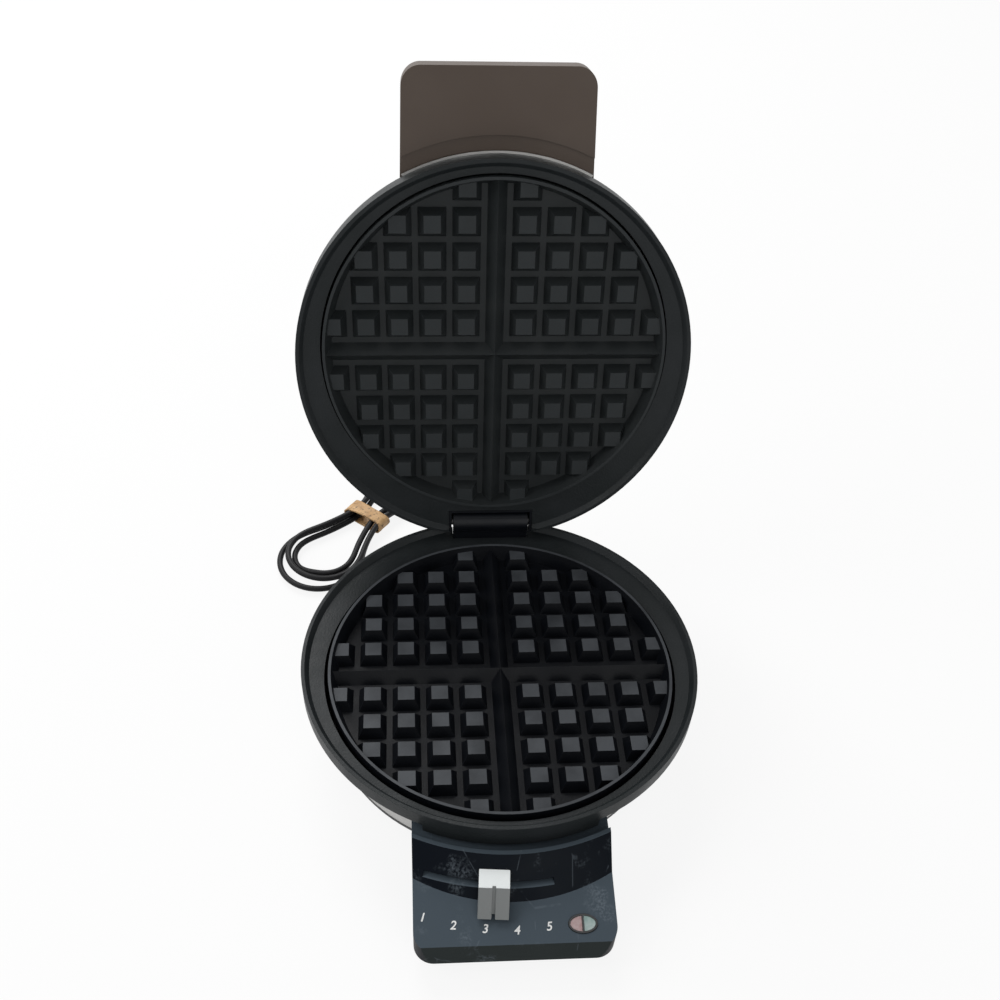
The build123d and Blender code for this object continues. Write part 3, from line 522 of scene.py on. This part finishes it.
# Painted shade and light: both plates have one coating, but the lower is painted far darker than the upper,
# with a brighter painted highlight on its post tops, for how light falls on each.
LOWER_COATING = CastingFinish("lower_release_coating", Slot.CASTING, (0.0025, 0.0031, 0.0045),
                              (0.0040, 0.0048, 0.0065), 0.40, grain_size=0.0009, grain_depth=0.00006,
                              specular=0.1, rubbing_and_painted_highlight=(0.070, 0.076, 0.084))
UPPER_COATING = CastingFinish("upper_release_coating", Slot.CASTING, (0.017, 0.020, 0.021),
                              (0.023, 0.026, 0.027), 0.42, grain_size=0.0009, grain_depth=0.00006,
                              specular=0.15, rubbing_and_painted_highlight=(0.027, 0.031, 0.033), normal=UPPER_NORMAL, top=UPPER_TOP)
# Painted light: the housing's upward-facing deck is painted much paler, and its front faces a little paler.
HOUSING = ScuffedFinish("scuffed_slate_plastic", Slot.HOUSING, (0.0015, 0.003, 0.006), (0.003, 0.005, 0.008),
                        0.45, specular=0.06, scuff=(0.16, 0.19, 0.22), least=0.55,
                        painted_top_light=(0.064, 0.083, 0.101), painted_front_light=(0.018, 0.024, 0.024))
COVER = Finish("bottom_cover_plastic", Slot.HOUSING, (0.02, 0.02, 0.022), (0.026, 0.026, 0.028), 0.55)
HANDLE = ScuffedFinish("warm_black_plastic", Slot.HANDLE, (0.084, 0.063, 0.050), (0.099, 0.076, 0.061), 0.5,
                       specular=0.25, scuff=(0.075, 0.066, 0.058), least=0.62, scratches=0.12,
                       cloud_size=0.06)
STAINLESS = Finish("brushed_stainless_steel", Slot.STAINLESS, (0.36, 0.355, 0.345), (0.42, 0.415, 0.40), 0.38,
                   grain_size=0.0006, grain_depth=0.00002, metallic=1, brushing=Brushing.ROUND)
# Painted light: the knob's silver is pale on top and greyer on its sides.
SILVER = SatinFinish("silver_paint", Slot.SILVER, (0.78, 0.82, 0.82), (0.84, 0.87, 0.87), 0.35, specular=0.4,
                     grain_size=0.0004, grain_depth=0.00001)
BEZEL = Finish("gloss_bezel", Slot.BEZEL, (0.006, 0.006, 0.007), (0.009, 0.009, 0.01), 0.2, coat=0.4)
RED = ClearFinish("red_window", Slot.RED, (0.42, 0.24, 0.23), (0.62, 0.5, 0.5), 0.12, cloud_size=0.004,
                  grain_size=0.0016, grain_depth=0.0002)
GREEN = ClearFinish("green_window", Slot.GREEN, (0.24, 0.38, 0.35), (0.5, 0.6, 0.58), 0.12, cloud_size=0.004,
                    grain_size=0.0016, grain_depth=0.0002)
NEON = ClearFinish("neon_bulb_glass", Slot.NEON, (0.8, 0.6, 0.5), (0.85, 0.7, 0.6), 0.08)
ZINC = Finish("zinc_plate", Slot.ZINC, (0.5, 0.5, 0.47), (0.58, 0.58, 0.56), 0.35, metallic=1)
# Painted shade: the lid's hinge bracket and pin take the zinc plate in a far darker colour, so they show no
# glint.
PAINTED_SHADE_ZINC = Finish("painted_shade_zinc", Slot.ZINC, (0.05, 0.05, 0.052), (0.08, 0.08, 0.08), 0.5, metallic=0.6)
CERAMIC = Finish("cream_ceramic", Slot.CERAMIC, (0.62, 0.57, 0.48), (0.7, 0.66, 0.58), 0.7)
SHEATH = Finish("heat_darkened_sheath", Slot.SHEATH, (0.12, 0.11, 0.10), (0.2, 0.17, 0.14), 0.4, metallic=1)
PAN = Finish("rolled_aluminium", Slot.PAN, (0.7, 0.7, 0.7), (0.76, 0.76, 0.76), 0.3, metallic=1,
             grain_size=0.0008, grain_depth=0.00002, brushing=Brushing.STRAIGHT)
FOOT = Finish("foot_rubber", Slot.FOOT, (0.018, 0.018, 0.018), (0.026, 0.026, 0.026), 0.8)
CORD = Finish("cord_rubber", Slot.CORD, (0.0035, 0.0035, 0.0042), (0.006, 0.006, 0.007), 0.5, cloud_size=0.02,
              specular=0.2)
BLADE = Finish("plated_blades", Slot.BLADE, (0.66, 0.62, 0.52), (0.72, 0.69, 0.6), 0.25, metallic=1)
BAND = CreasedFinish("tan_elastic", Slot.BAND, (0.42, 0.24, 0.10), (0.60, 0.38, 0.18), 0.6, cloud_size=0.006)
NUMERAL = Finish("numeral_ink", Slot.SILVER, (0.74, 0.75, 0.74), (0.82, 0.82, 0.81), 0.5,
                 grain_depth=0.000004)


@dataclass(frozen=True)
class Dressing:
    """How one node of the model is dressed; edge is the width of its rounding in millimetres."""

    node: str
    body: Body
    finish: Finish
    edge: float = 0.0


DRESSINGS = (
    Dressing("base_collar", Body.BASE, CHARCOAL, 0.35),
    Dressing("base_shell", Body.BASE, STAINLESS),
    Dressing("lower_grid_plate", Body.BASE, LOWER_COATING, 0.45),
    Dressing("control_housing", Body.BASE, HOUSING, 0.5),
    Dressing("indicator_bezel", Body.BASE, BEZEL, 0.12),
    Dressing("red_lens", Body.BASE, RED, 0.15),
    Dressing("green_lens", Body.BASE, GREEN, 0.15),
    Dressing("neon_lamps", Body.BASE, NEON),
    Dressing("lower_heating_element", Body.BASE, SHEATH),
    Dressing("lower_reflector", Body.BASE, PAN),
    Dressing("base_spacers", Body.BASE, ZINC, 0.1),
    Dressing("base_screws", Body.BASE, ZINC, 0.25),
    Dressing("thermostat_body", Body.BASE, CERAMIC, 0.3),
    Dressing("thermal_fuse", Body.BASE, ZINC, 0.3),
    Dressing("terminal_block", Body.BASE, CERAMIC, 0.5),
    Dressing("bottom_cover", Body.BASE, COVER, 0.4),
    Dressing("rubber_feet", Body.BASE, FOOT, 0.6),
    Dressing("hinge_block", Body.BASE, PAINTED_SHADE_CHARCOAL, 0.4),
    Dressing("hinge_block_screws", Body.BASE, ZINC, 0.2),
    Dressing("strain_relief", Body.BASE, CORD, 0.2),
    Dressing("plug_body", Body.BASE, CORD, 0.8),
    Dressing("plug_blades", Body.BASE, BLADE, 0.2),
    Dressing("thermostat_shaft", Body.CONTROL, ZINC, 0.1),
    Dressing("control_lever", Body.CONTROL, ZINC, 0.15),
    Dressing("slider_knob", Body.CONTROL, SILVER, 0.3),
    Dressing("lid_collar", Body.LID, CHARCOAL, 0.35),
    Dressing("lid_shell", Body.LID, STAINLESS, 0.1),
    Dressing("lid_hinge_frame", Body.LID, PAINTED_SHADE_CHARCOAL, 0.25),
    Dressing("lid_hinge_bracket", Body.LID, PAINTED_SHADE_ZINC, 0.2),
    Dressing("hinge_pin", Body.LID, PAINTED_SHADE_ZINC, 0.2),
    Dressing("upper_grid_plate", Body.LID, UPPER_COATING, 0.45),
    Dressing("upper_heating_element", Body.LID, SHEATH),
    Dressing("upper_reflector", Body.LID, PAN),
    Dressing("lid_spacers", Body.LID, ZINC, 0.1),
    Dressing("lid_screws", Body.LID, ZINC, 0.2),
    Dressing("handle_underside", Body.LID, HANDLE, 0.5),
    Dressing("handle_top", Body.LID, HANDLE, 0.5),
    Dressing("handle_screws", Body.LID, ZINC, 0.2),
)


@dataclass
class Workshop:
    """Makes meshes and materials, and hands each piece to its body."""

    nodes: dict[str, bpy.types.Object]
    materials: dict[str, bpy.types.Material] = field(default_factory=dict)
    weld: float = 0.002
    flat_angle: float = 0.4
    crease_angle: float = 18.0
    sharp_angle: float = 35.0
    segments: int = 2
    profile: float = 0.6

    def material(self, finish: Finish) -> bpy.types.Material:
        """Makes a finish's material, once.

        Args:
            finish: The surface.

        Returns:
            Its material.
        """
        if finish.name not in self.materials:
            self.materials[finish.name] = finish.build()
        return self.materials[finish.name]

    def mount(self, piece: bpy.types.Object, body: Body, finish: Finish) -> None:
        """Gives a piece its finish and its body.

        Args:
            piece: The new object.
            body: The body that it moves with.
            finish: Its surface.
        """
        piece.data.materials.clear()
        piece.data.materials.append(self.material(finish))
        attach(piece, body.value)
        LOG.info("%s rides on %s in %s", piece.name, body.value, finish.name)

    def link(self, name: str, mesh: bpy.types.ID) -> bpy.types.Object:
        """Puts a shape into the scene as an object.

        Args:
            name: The object's name.
            mesh: Its mesh, text or curve.

        Returns:
            The new object.
        """
        piece = bpy.data.objects.new(name, mesh)
        bpy.context.scene.collection.objects.link(piece)
        return piece

    def softened(self, node: str, edge: float) -> bpy.types.Mesh:
        """Copies a node's shape and rounds its edges.

        Args:
            node: The node's name.
            edge: Width of the rounding in millimetres.

        Returns:
            The new mesh.
        """
        source = self.nodes[node].data
        mesh = bpy.data.meshes.new(node + "_form")
        mesh.from_pydata([v.co for v in source.vertices], [], [tuple(p.vertices) for p in source.polygons])
        form = bmesh.new()
        form.from_mesh(mesh)
        bmesh.ops.remove_doubles(form, verts=form.verts, dist=self.weld * MM)
        flat, crease = math.radians(self.flat_angle), math.radians(self.crease_angle)
        bmesh.ops.dissolve_limit(form, angle_limit=flat, verts=form.verts, edges=form.edges)
        chosen = [e for e in form.edges if len(e.link_faces) == 2 and e.calc_face_angle(0) > crease]
        bmesh.ops.bevel(
            form, geom=chosen, offset=edge * MM, offset_type="OFFSET", segments=self.segments,
            profile=self.profile, affect="EDGES", clamp_overlap=True,
        )
        bmesh.ops.recalc_face_normals(form, faces=form.faces)
        form.to_mesh(mesh)
        form.free()
        for face in mesh.polygons:
            face.use_smooth = True
        mesh.set_sharp_from_angle(angle=math.radians(self.sharp_angle))
        holder = self.link(node + "_holder", mesh)
        weighted = holder.modifiers.new("flat_faces", "WEIGHTED_NORMAL")
        weighted.keep_sharp = True
        return self.baked(holder)

    def baked(self, holder: bpy.types.Object) -> bpy.types.Mesh:
        """Takes the finished mesh of a helper object and removes the helper.

        Args:
            holder: The helper.

        Returns:
            The mesh with its modifiers applied.
        """
        bpy.context.view_layer.update()
        mesh = bpy.data.meshes.new_from_object(holder.evaluated_get(bpy.context.evaluated_depsgraph_get()))
        bpy.data.objects.remove(holder)
        return mesh

    def dress(self, dressing: Dressing) -> bpy.types.Object:
        """Dresses one node: its own mesh, or a copy with rounded edges that replaces it.

        Args:
            dressing: Node, body, finish and edge.

        Returns:
            The object that shows.
        """
        node = self.nodes[dressing.node]
        if dressing.edge == 0:
            node.data.materials.clear()
            node.data.materials.append(self.material(dressing.finish))
            LOG.info("%s keeps its mesh, in %s", node.name, dressing.finish.name)
            return node
        piece = self.link(dressing.node + "_dressed", self.softened(dressing.node, dressing.edge))
        self.mount(piece, dressing.body, dressing.finish)
        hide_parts(dressing.node)
        return piece


@dataclass
class Scale:
    """Numerals 1 to 5 printed on the sloping deck."""

    shop: Workshop
    height: float = 5.3
    lift: float = 0.04
    boldness: float = 0.08
    slant: float = 0.18
    turn_share: float = 0.4
    spots: tuple[Range, ...] = (
        (-40.5, -124.8), (-27.2, -128.6), (-13.4, -130.5), (0.4, -131.6), (14.5, -130.4),
    )
    crease: float = 119.5
    crease_level: float = 24.0
    slope: float = 4.0 / 17.9

    def build(self) -> None:
        """Makes the five numerals, one piece each."""
        tilt = math.atan(self.slope)
        for number, (x, y) in enumerate(self.spots, start=1):
            text = bpy.data.curves.new(f"numeral_{number}", "FONT")
            text.body = str(number)
            text.size = self.height * MM
            text.shear = self.slant
            text.extrude = self.lift * MM
            text.offset = self.boldness * MM
            text.align_x, text.align_y = "CENTER", "CENTER"
            level = self.crease_level - (-y - self.crease) * self.slope
            mesh = self.shop.baked(self.shop.link(text.name + "_outline", text))
            fan = math.atan2(x, -y) * self.turn_share
            turn = Matrix.Rotation(fan, 4, "Z") @ Matrix.Rotation(tilt, 4, "X")
            spot = Matrix.Translation(Vector((x, y, level + self.lift)) * MM)
            mesh.transform(spot @ turn)
            self.shop.mount(self.shop.link(text.name, mesh), Body.BASE, NUMERAL)


@dataclass
class SteelLine:
    """Rolled edge of the lid's steel shell, seen as a thin line between collar and handle."""

    shop: Workshop
    inner: float = 97.5
    outer: float = 98.5
    low: float = 59.2
    high: float = 60.1
    half_angle: float = 26.5
    steps: int = 48

    def build(self) -> None:
        """Makes the line as one curved strip."""
        corners = (
            (self.inner, self.low), (self.outer, self.low), (self.outer, self.high), (self.inner, self.high),
        )
        sides = len(corners)
        verts, faces = [], []
        for step in range(self.steps + 1):
            angle = math.radians(self.half_angle * (2 * step / self.steps - 1))
            for radius, level in corners:
                verts.append(opened((radius * math.sin(angle), -radius * math.cos(angle), level)))
        for start in range(0, sides * self.steps, sides):
            for k in range(sides):
                n = (k + 1) % sides
                faces.append((start + k, start + n, start + sides + n, start + sides + k))
        faces += [(3, 2, 1, 0), tuple(sides * self.steps + k for k in range(sides))]
        mesh = bpy.data.meshes.new("shell_edge_line")
        mesh.from_pydata(verts, [], faces)
        self.shop.mount(self.shop.link("shell_edge_line", mesh), Body.LID, STAINLESS)


@dataclass
class Lead:
    """Mains lead: one smooth curve from the boot through the tied hank to the plug."""

    shop: Workshop
    diameter: float = 3.4
    length: float = 1.010
    exit: Point = (22.0, 114.82, 18.0)
    first_bends: tuple[Point, ...] = ((22, 132, 18), (14, 148, 12), (0, 161, 6))
    arrival_run: float = 20.0
    leaving_run: float = 15.0
    last_bends: tuple[Point, ...] = ((-61, 217, 7), (-62, 233, 7))
    turns: float = 3.0
    points_per_turn: int = 24
    pitch: float = 4.3
    level: float = 3.1
    layer: float = 3.9
    climb: float = 0.12
    left: float = 69.5
    right: float = 56.0
    waist: float = 10.5
    left_lobe: float = 26.5
    right_lobe: float = 20.0
    shoulder: float = 30.0
    fans: Point = (0.0, 6.5, 6.3)
    angle: float = 52.5
    centre: Range = (-70.0, 147.0)
    angle_step: float = 1e-4
    turn_step: float = 0.0005
    facets: int = 5
    smoothness: int = 8

    def outline(self, angle: float) -> Vector:
        """Places a point of the outermost loop.

        Args:
            angle: Its place round the loop, in radians.

        Returns:
            The point in the hank's own axes, in millimetres.
        """
        to_right = math.cos(angle) > 0
        reach, lobe = (self.right, self.right_lobe) if to_right else (self.left, self.left_lobe)
        turn = math.radians(self.shoulder)
        across, middle = abs(reach * math.cos(angle)), reach - lobe
        shoulder = middle - lobe * math.sin(turn)
        if across > shoulder:
            height = math.sqrt(max(0, lobe**2 - (across - middle) ** 2))
        else:
            share = across / shoulder
            rise = (lobe * math.cos(turn) - self.waist) * share**2 * (3 - 2 * share)
            height = self.waist + rise + math.tan(turn) * shoulder * share**2 * (share - 1)
        return Vector((reach * math.cos(angle), math.copysign(height, math.sin(angle)), 0))

    def loop_point(self, turn: float) -> Vector:
        """Places the cord's centre in the hank.

        Args:
            turn: How many turns have been wound.

        Returns:
            The point in millimetres.
        """
        angle = 2 * math.pi * turn
        ahead, behind = self.outline(angle + self.angle_step), self.outline(angle - self.angle_step)
        heading = (ahead - behind).normalized()
        fan = self.fans[min(int(turn), 2)] * min(0, math.cos(angle)) ** 2
        inset = self.pitch * min(turn, self.turns - turn) + fan
        spot = self.outline(angle) + Vector((-heading.y, heading.x, 0)) * inset
        spot = Matrix.Rotation(math.radians(self.angle), 3, "Z") @ spot
        climb = min(1, max(0, (turn - self.turns / 2) / self.climb + 0.5))
        rise = self.layer * climb * climb * (3 - 2 * climb)
        return Vector((self.centre[0], self.centre[1], self.level + rise)) + spot

    def route(self) -> list[Vector]:
        """Lays the cord's route from the boot's tip to the plug.

        Returns:
            The route's points in millimetres.
        """
        count = round(self.turns * self.points_per_turn)
        loops = [self.loop_point(self.turns * k / count) for k in range(count + 1)]
        arrive = (self.loop_point(self.turn_step) - loops[0]).normalized()
        leave = (loops[-1] - self.loop_point(self.turns - self.turn_step)).normalized()
        start, end = loops[0] - arrive * self.diameter, loops[-1] + leave * self.diameter
        lead = [Vector(p) for p in (self.exit, *self.first_bends)]
        lead += [start - arrive * self.arrival_run, start]
        tail = [end, end + leave * self.leaving_run, *(Vector(p) for p in self.last_bends)]
        return lead + loops + tail

    def build(self, riders: list[bpy.types.Object]) -> None:
        """Args:
            riders: Pieces on the cord, such as its plug and band; not used.
        """
        curve = bpy.data.curves.new("mains_lead", "CURVE")
        curve.dimensions = "3D"
        curve.bevel_depth = self.diameter / 2 * MM
        curve.bevel_resolution = self.facets
        curve.resolution_u = self.smoothness
        curve.use_fill_caps = True
        route = self.route()
        spline = curve.splines.new("NURBS")
        spline.points.add(len(route) - 1)
        for point, place in zip(spline.points, route):
            point.co = (*(place * MM), 1)
        spline.order_u = 3
        spline.use_endpoint_u = True
        cord = self.shop.link("mains_lead", curve)
        self.shop.mount(cord, Body.BASE, CORD)
        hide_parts("power_cord_lead", "power_cord_hank", "power_cord_tail")


@dataclass
class Band:
    """Tan elastic band wound round the hank's waist, creased and a little twisted."""

    shop: Workshop
    lead: Lead
    width: float = 9.5
    wall: float = 0.9
    gap: float = 0.3
    worktop_gap: float = 0.15
    rounds: int = 96
    across: int = 14
    squareness: float = 3.0
    long_fold: float = 0.22
    fine_fold: float = 0.16
    fold_share: float = 0.25
    edge_wave: float = 0.12

    def point(self, skin: float, share: float, angle: float) -> Point:
        """Places one point of the creased sleeve.

        Args:
            skin: Distance from the inner face in millimetres.
            share: Place across the band, from -1 to 1.
            angle: Place round the hank, in radians.

        Returns:
            The point in the band's own axes, in millimetres.
        """
        half_side = self.lead.waist + self.lead.diameter / 2 + self.gap
        half_up = (self.lead.layer + self.lead.diameter) / 2 + self.gap
        long_fold = self.long_fold * math.sin(3 * angle + 5 * share)
        fine_fold = self.fine_fold * math.sin(11 * share + 2 * angle)
        out = skin * (1 + self.fold_share * (long_fold + fine_fold))
        c, s = math.cos(angle), math.sin(angle)
        round_off = (abs(c) ** self.squareness + abs(s) ** self.squareness) ** (-1 / self.squareness)
        up = s * round_off * (half_up + out)
        if up < 0:
            up = max(up, -(self.lead.level + self.lead.layer / 2 - self.worktop_gap))
        along = share * self.width / 2 * (1 + self.edge_wave * math.sin(angle * 2 + 1))
        return along, c * round_off * (half_side + out), up

    def rings(self, form: bmesh.types.BMesh, skin: float) -> list[list[bmesh.types.BMVert]]:
        """Adds the points of one face of the sleeve.

        Args:
            form: The sleeve so far.
            skin: Distance from the inner face in millimetres.

        Returns:
            The face's rings, from one border to the other.
        """
        shares = [j / self.across * 2 - 1 for j in range(self.across + 1)]
        angles = [2 * math.pi * k / self.rounds for k in range(self.rounds)]
        return [[form.verts.new(self.point(skin, share, angle)) for angle in angles] for share in shares]

    def bridge(
        self, form: bmesh.types.BMesh, first: list[bmesh.types.BMVert], second: list[bmesh.types.BMVert]
    ) -> None:
        """Joins two rings with a row of faces.

        Args:
            form: The sleeve so far.
            first: One ring.
            second: The ring beside it.
        """
        for k in range(self.rounds):
            n = (k + 1) % self.rounds
            form.faces.new((first[k], first[n], second[n], second[k]))

    def build(self) -> bpy.types.Object:
        """Makes the band as a thin creased sleeve that replaces the plain ring.

        Returns:
            The band.
        """
        form = bmesh.new()
        inner, outer = self.rings(form, 0.0), self.rings(form, self.wall)
        for face in (inner, outer):
            for first, second in zip(face, face[1:]):
                self.bridge(form, first, second)
        for border in (0, self.across):
            self.bridge(form, inner[border], outer[border])
        bmesh.ops.recalc_face_normals(form, faces=form.faces)
        mesh = bpy.data.meshes.new("hank_band")
        form.to_mesh(mesh)
        form.free()
        centre = Vector((*self.lead.centre, self.lead.level + self.lead.layer / 2))
        turn = Matrix.Rotation(math.radians(self.lead.angle), 4, "Z")
        mesh.transform(Matrix.Scale(MM, 4) @ Matrix.Translation(centre) @ turn)
        for face in mesh.polygons:
            face.use_smooth = True
        band = self.shop.link("hank_band", mesh)
        self.shop.mount(band, Body.BASE, BAND)
        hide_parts("cord_band")
        return band


@dataclass(frozen=True)
class Lamp:
    """One soft square lamp: where it hangs, what it points at, its side and its power."""

    name: str
    place: Point
    aim: Point
    size: float
    watts: float

    def hang(self) -> None:
        """Adds the lamp to the scene."""
        data = bpy.data.lights.new(self.name, "AREA")
        data.size = self.size
        data.energy = self.watts
        lamp = bpy.data.objects.new(self.name, data)
        bpy.context.scene.collection.objects.link(lamp)
        lamp.location = self.place
        lamp.rotation_mode = "QUATERNION"
        lamp.rotation_quaternion = (Vector(self.aim) - Vector(self.place)).to_track_quat("-Z", "Y")


LAMPS = (
    Lamp("window_behind", (-0.35, 1.35, 1.5), (0, 0, 0.05), 1.0, 24),
    Lamp("window_left", (-1.3, 0.1, 1.1), (0, 0, 0.05), 0.9, 9),
    Lamp("front_fill", (0.4, -1.5, 1.1), (0, 0, 0.15), 1.2, 7),
)


@dataclass
class Studio:
    """Floor, light and camera; the focal length and the centre are shares of the picture's width."""

    eye: Point = (-39.25, -343.4, 468.4)
    azimuth: float = 4.98
    elevation: float = 48.21
    roll: float = 2.68
    focal: float = 1.09993
    centre: Range = (0.4831, 0.60989)
    sensor: float = 36.0
    clip: Range = (0.01, 20.0)
    world_light: float = 0.3
    floor_side: float = 3.0
    floor_colour: Colour = (0.86, 0.86, 0.86)
    floor_roughness: float = 0.9
    floor_glow: float = 0.88

    def camera(self) -> None:
        """Places the camera as it stood for the photograph."""
        data = bpy.data.cameras.new("photo_camera")
        data.sensor_width = self.sensor
        data.lens = self.focal * self.sensor
        data.shift_x = 0.5 - self.centre[0]
        data.shift_y = self.centre[1] - 0.5
        data.clip_start, data.clip_end = self.clip
        camera = bpy.data.objects.new("photo_camera", data)
        bpy.context.scene.collection.objects.link(camera)
        a, e, r = (math.radians(v) for v in (self.azimuth, self.elevation, self.roll))
        forward = Vector((math.sin(a) * math.cos(e), math.cos(a) * math.cos(e), -math.sin(e)))
        right = Vector((math.cos(a), -math.sin(a), 0))
        up = right.cross(forward)
        across = right * math.cos(r) + up * math.sin(r)
        upright = up * math.cos(r) - right * math.sin(r)
        turn = Matrix((across, upright, -forward)).transposed().to_4x4()
        camera.matrix_world = Matrix.Translation(Vector(self.eye) * MM) @ turn
        bpy.context.scene.camera = camera

    def seen(self, nodes: Nodes) -> bpy.types.NodeSocket:
        """Picks the rays that show the background: straight, mirrored or through glass.

        Args:
            nodes: The nodes of the floor or of the world.

        Returns:
            1 for such a ray, 0 for light that falls on a surface.
        """
        path = nodes.add("LightPath")
        shown = nodes.maths("MAXIMUM", path.outputs["Is Camera Ray"], path.outputs["Is Glossy Ray"])
        return nodes.maths("MAXIMUM", shown, path.outputs["Is Transmission Ray"])

    def world(self) -> None:
        """Makes white surroundings that light the object softly."""
        world = bpy.data.worlds.new("studio")
        bpy.context.scene.world = world
        world.use_nodes = True
        nodes = Nodes(world)
        dim, white, mix = world.node_tree.nodes["Background"], nodes.add("Background"), nodes.add("MixShader")
        for background, strength in ((dim, self.world_light), (white, 1.0)):
            background.inputs["Color"].default_value = WHITE
            background.inputs["Strength"].default_value = strength
        nodes.join(self.seen(nodes), mix.inputs[0])
        nodes.join(dim.outputs[0], mix.inputs[1])
        nodes.join(white.outputs[0], mix.inputs[2])
        nodes.join(mix.outputs[0], world.node_tree.nodes["World Output"].inputs[0])

    def floor(self) -> None:
        """Makes a plain pale floor that keeps the object's shadow."""
        mesh = bpy.data.meshes.new("floor")
        side = self.floor_side
        corners = [(-side, -side, 0), (side, -side, 0), (side, side, 0), (-side, side, 0)]
        mesh.from_pydata(corners, [], [(0, 1, 2, 3)])
        floor = bpy.data.objects.new("floor", mesh)
        bpy.context.scene.collection.objects.link(floor)
        material = bpy.data.materials.new("pale_floor")
        material.use_nodes = True
        nodes = Nodes(material)
        shader = material.node_tree.nodes["Principled BSDF"]
        shader.inputs["Base Color"].default_value = (*self.floor_colour, 1)
        shader.inputs["Roughness"].default_value = self.floor_roughness
        glow, mix = nodes.add("Emission"), nodes.add("MixShader")
        glow.inputs["Color"].default_value = WHITE
        share = nodes.maths("MULTIPLY", self.seen(nodes), self.floor_glow)
        nodes.join(share, mix.inputs[0])
        nodes.join(shader.outputs[0], mix.inputs[1])
        nodes.join(glow.outputs[0], mix.inputs[2])
        nodes.join(mix.outputs[0], material.node_tree.nodes["Material Output"].inputs[0])
        mesh.materials.append(material)

    def build(self) -> None:
        """Builds the whole studio."""
        self.camera()
        self.world()
        self.floor()
        for lamp in LAMPS:
            lamp.hang()
        bpy.context.scene.view_settings.view_transform = "Standard"


def main() -> None:
    """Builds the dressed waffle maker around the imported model."""
    logging.basicConfig(level=logging.INFO, format="%(name)s: %(message)s")
    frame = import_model()
    shop = Workshop(frame["nodes"])
    dressed = {d.node: shop.dress(d) for d in DRESSINGS}
    Scale(shop).build()
    SteelLine(shop).build()
    lead = Lead(shop)
    band = Band(shop, lead).build()
    lead.build([dressed["plug_body"], dressed["plug_blades"], band])
    Studio().build()


if __name__ == "__main__":
    main()
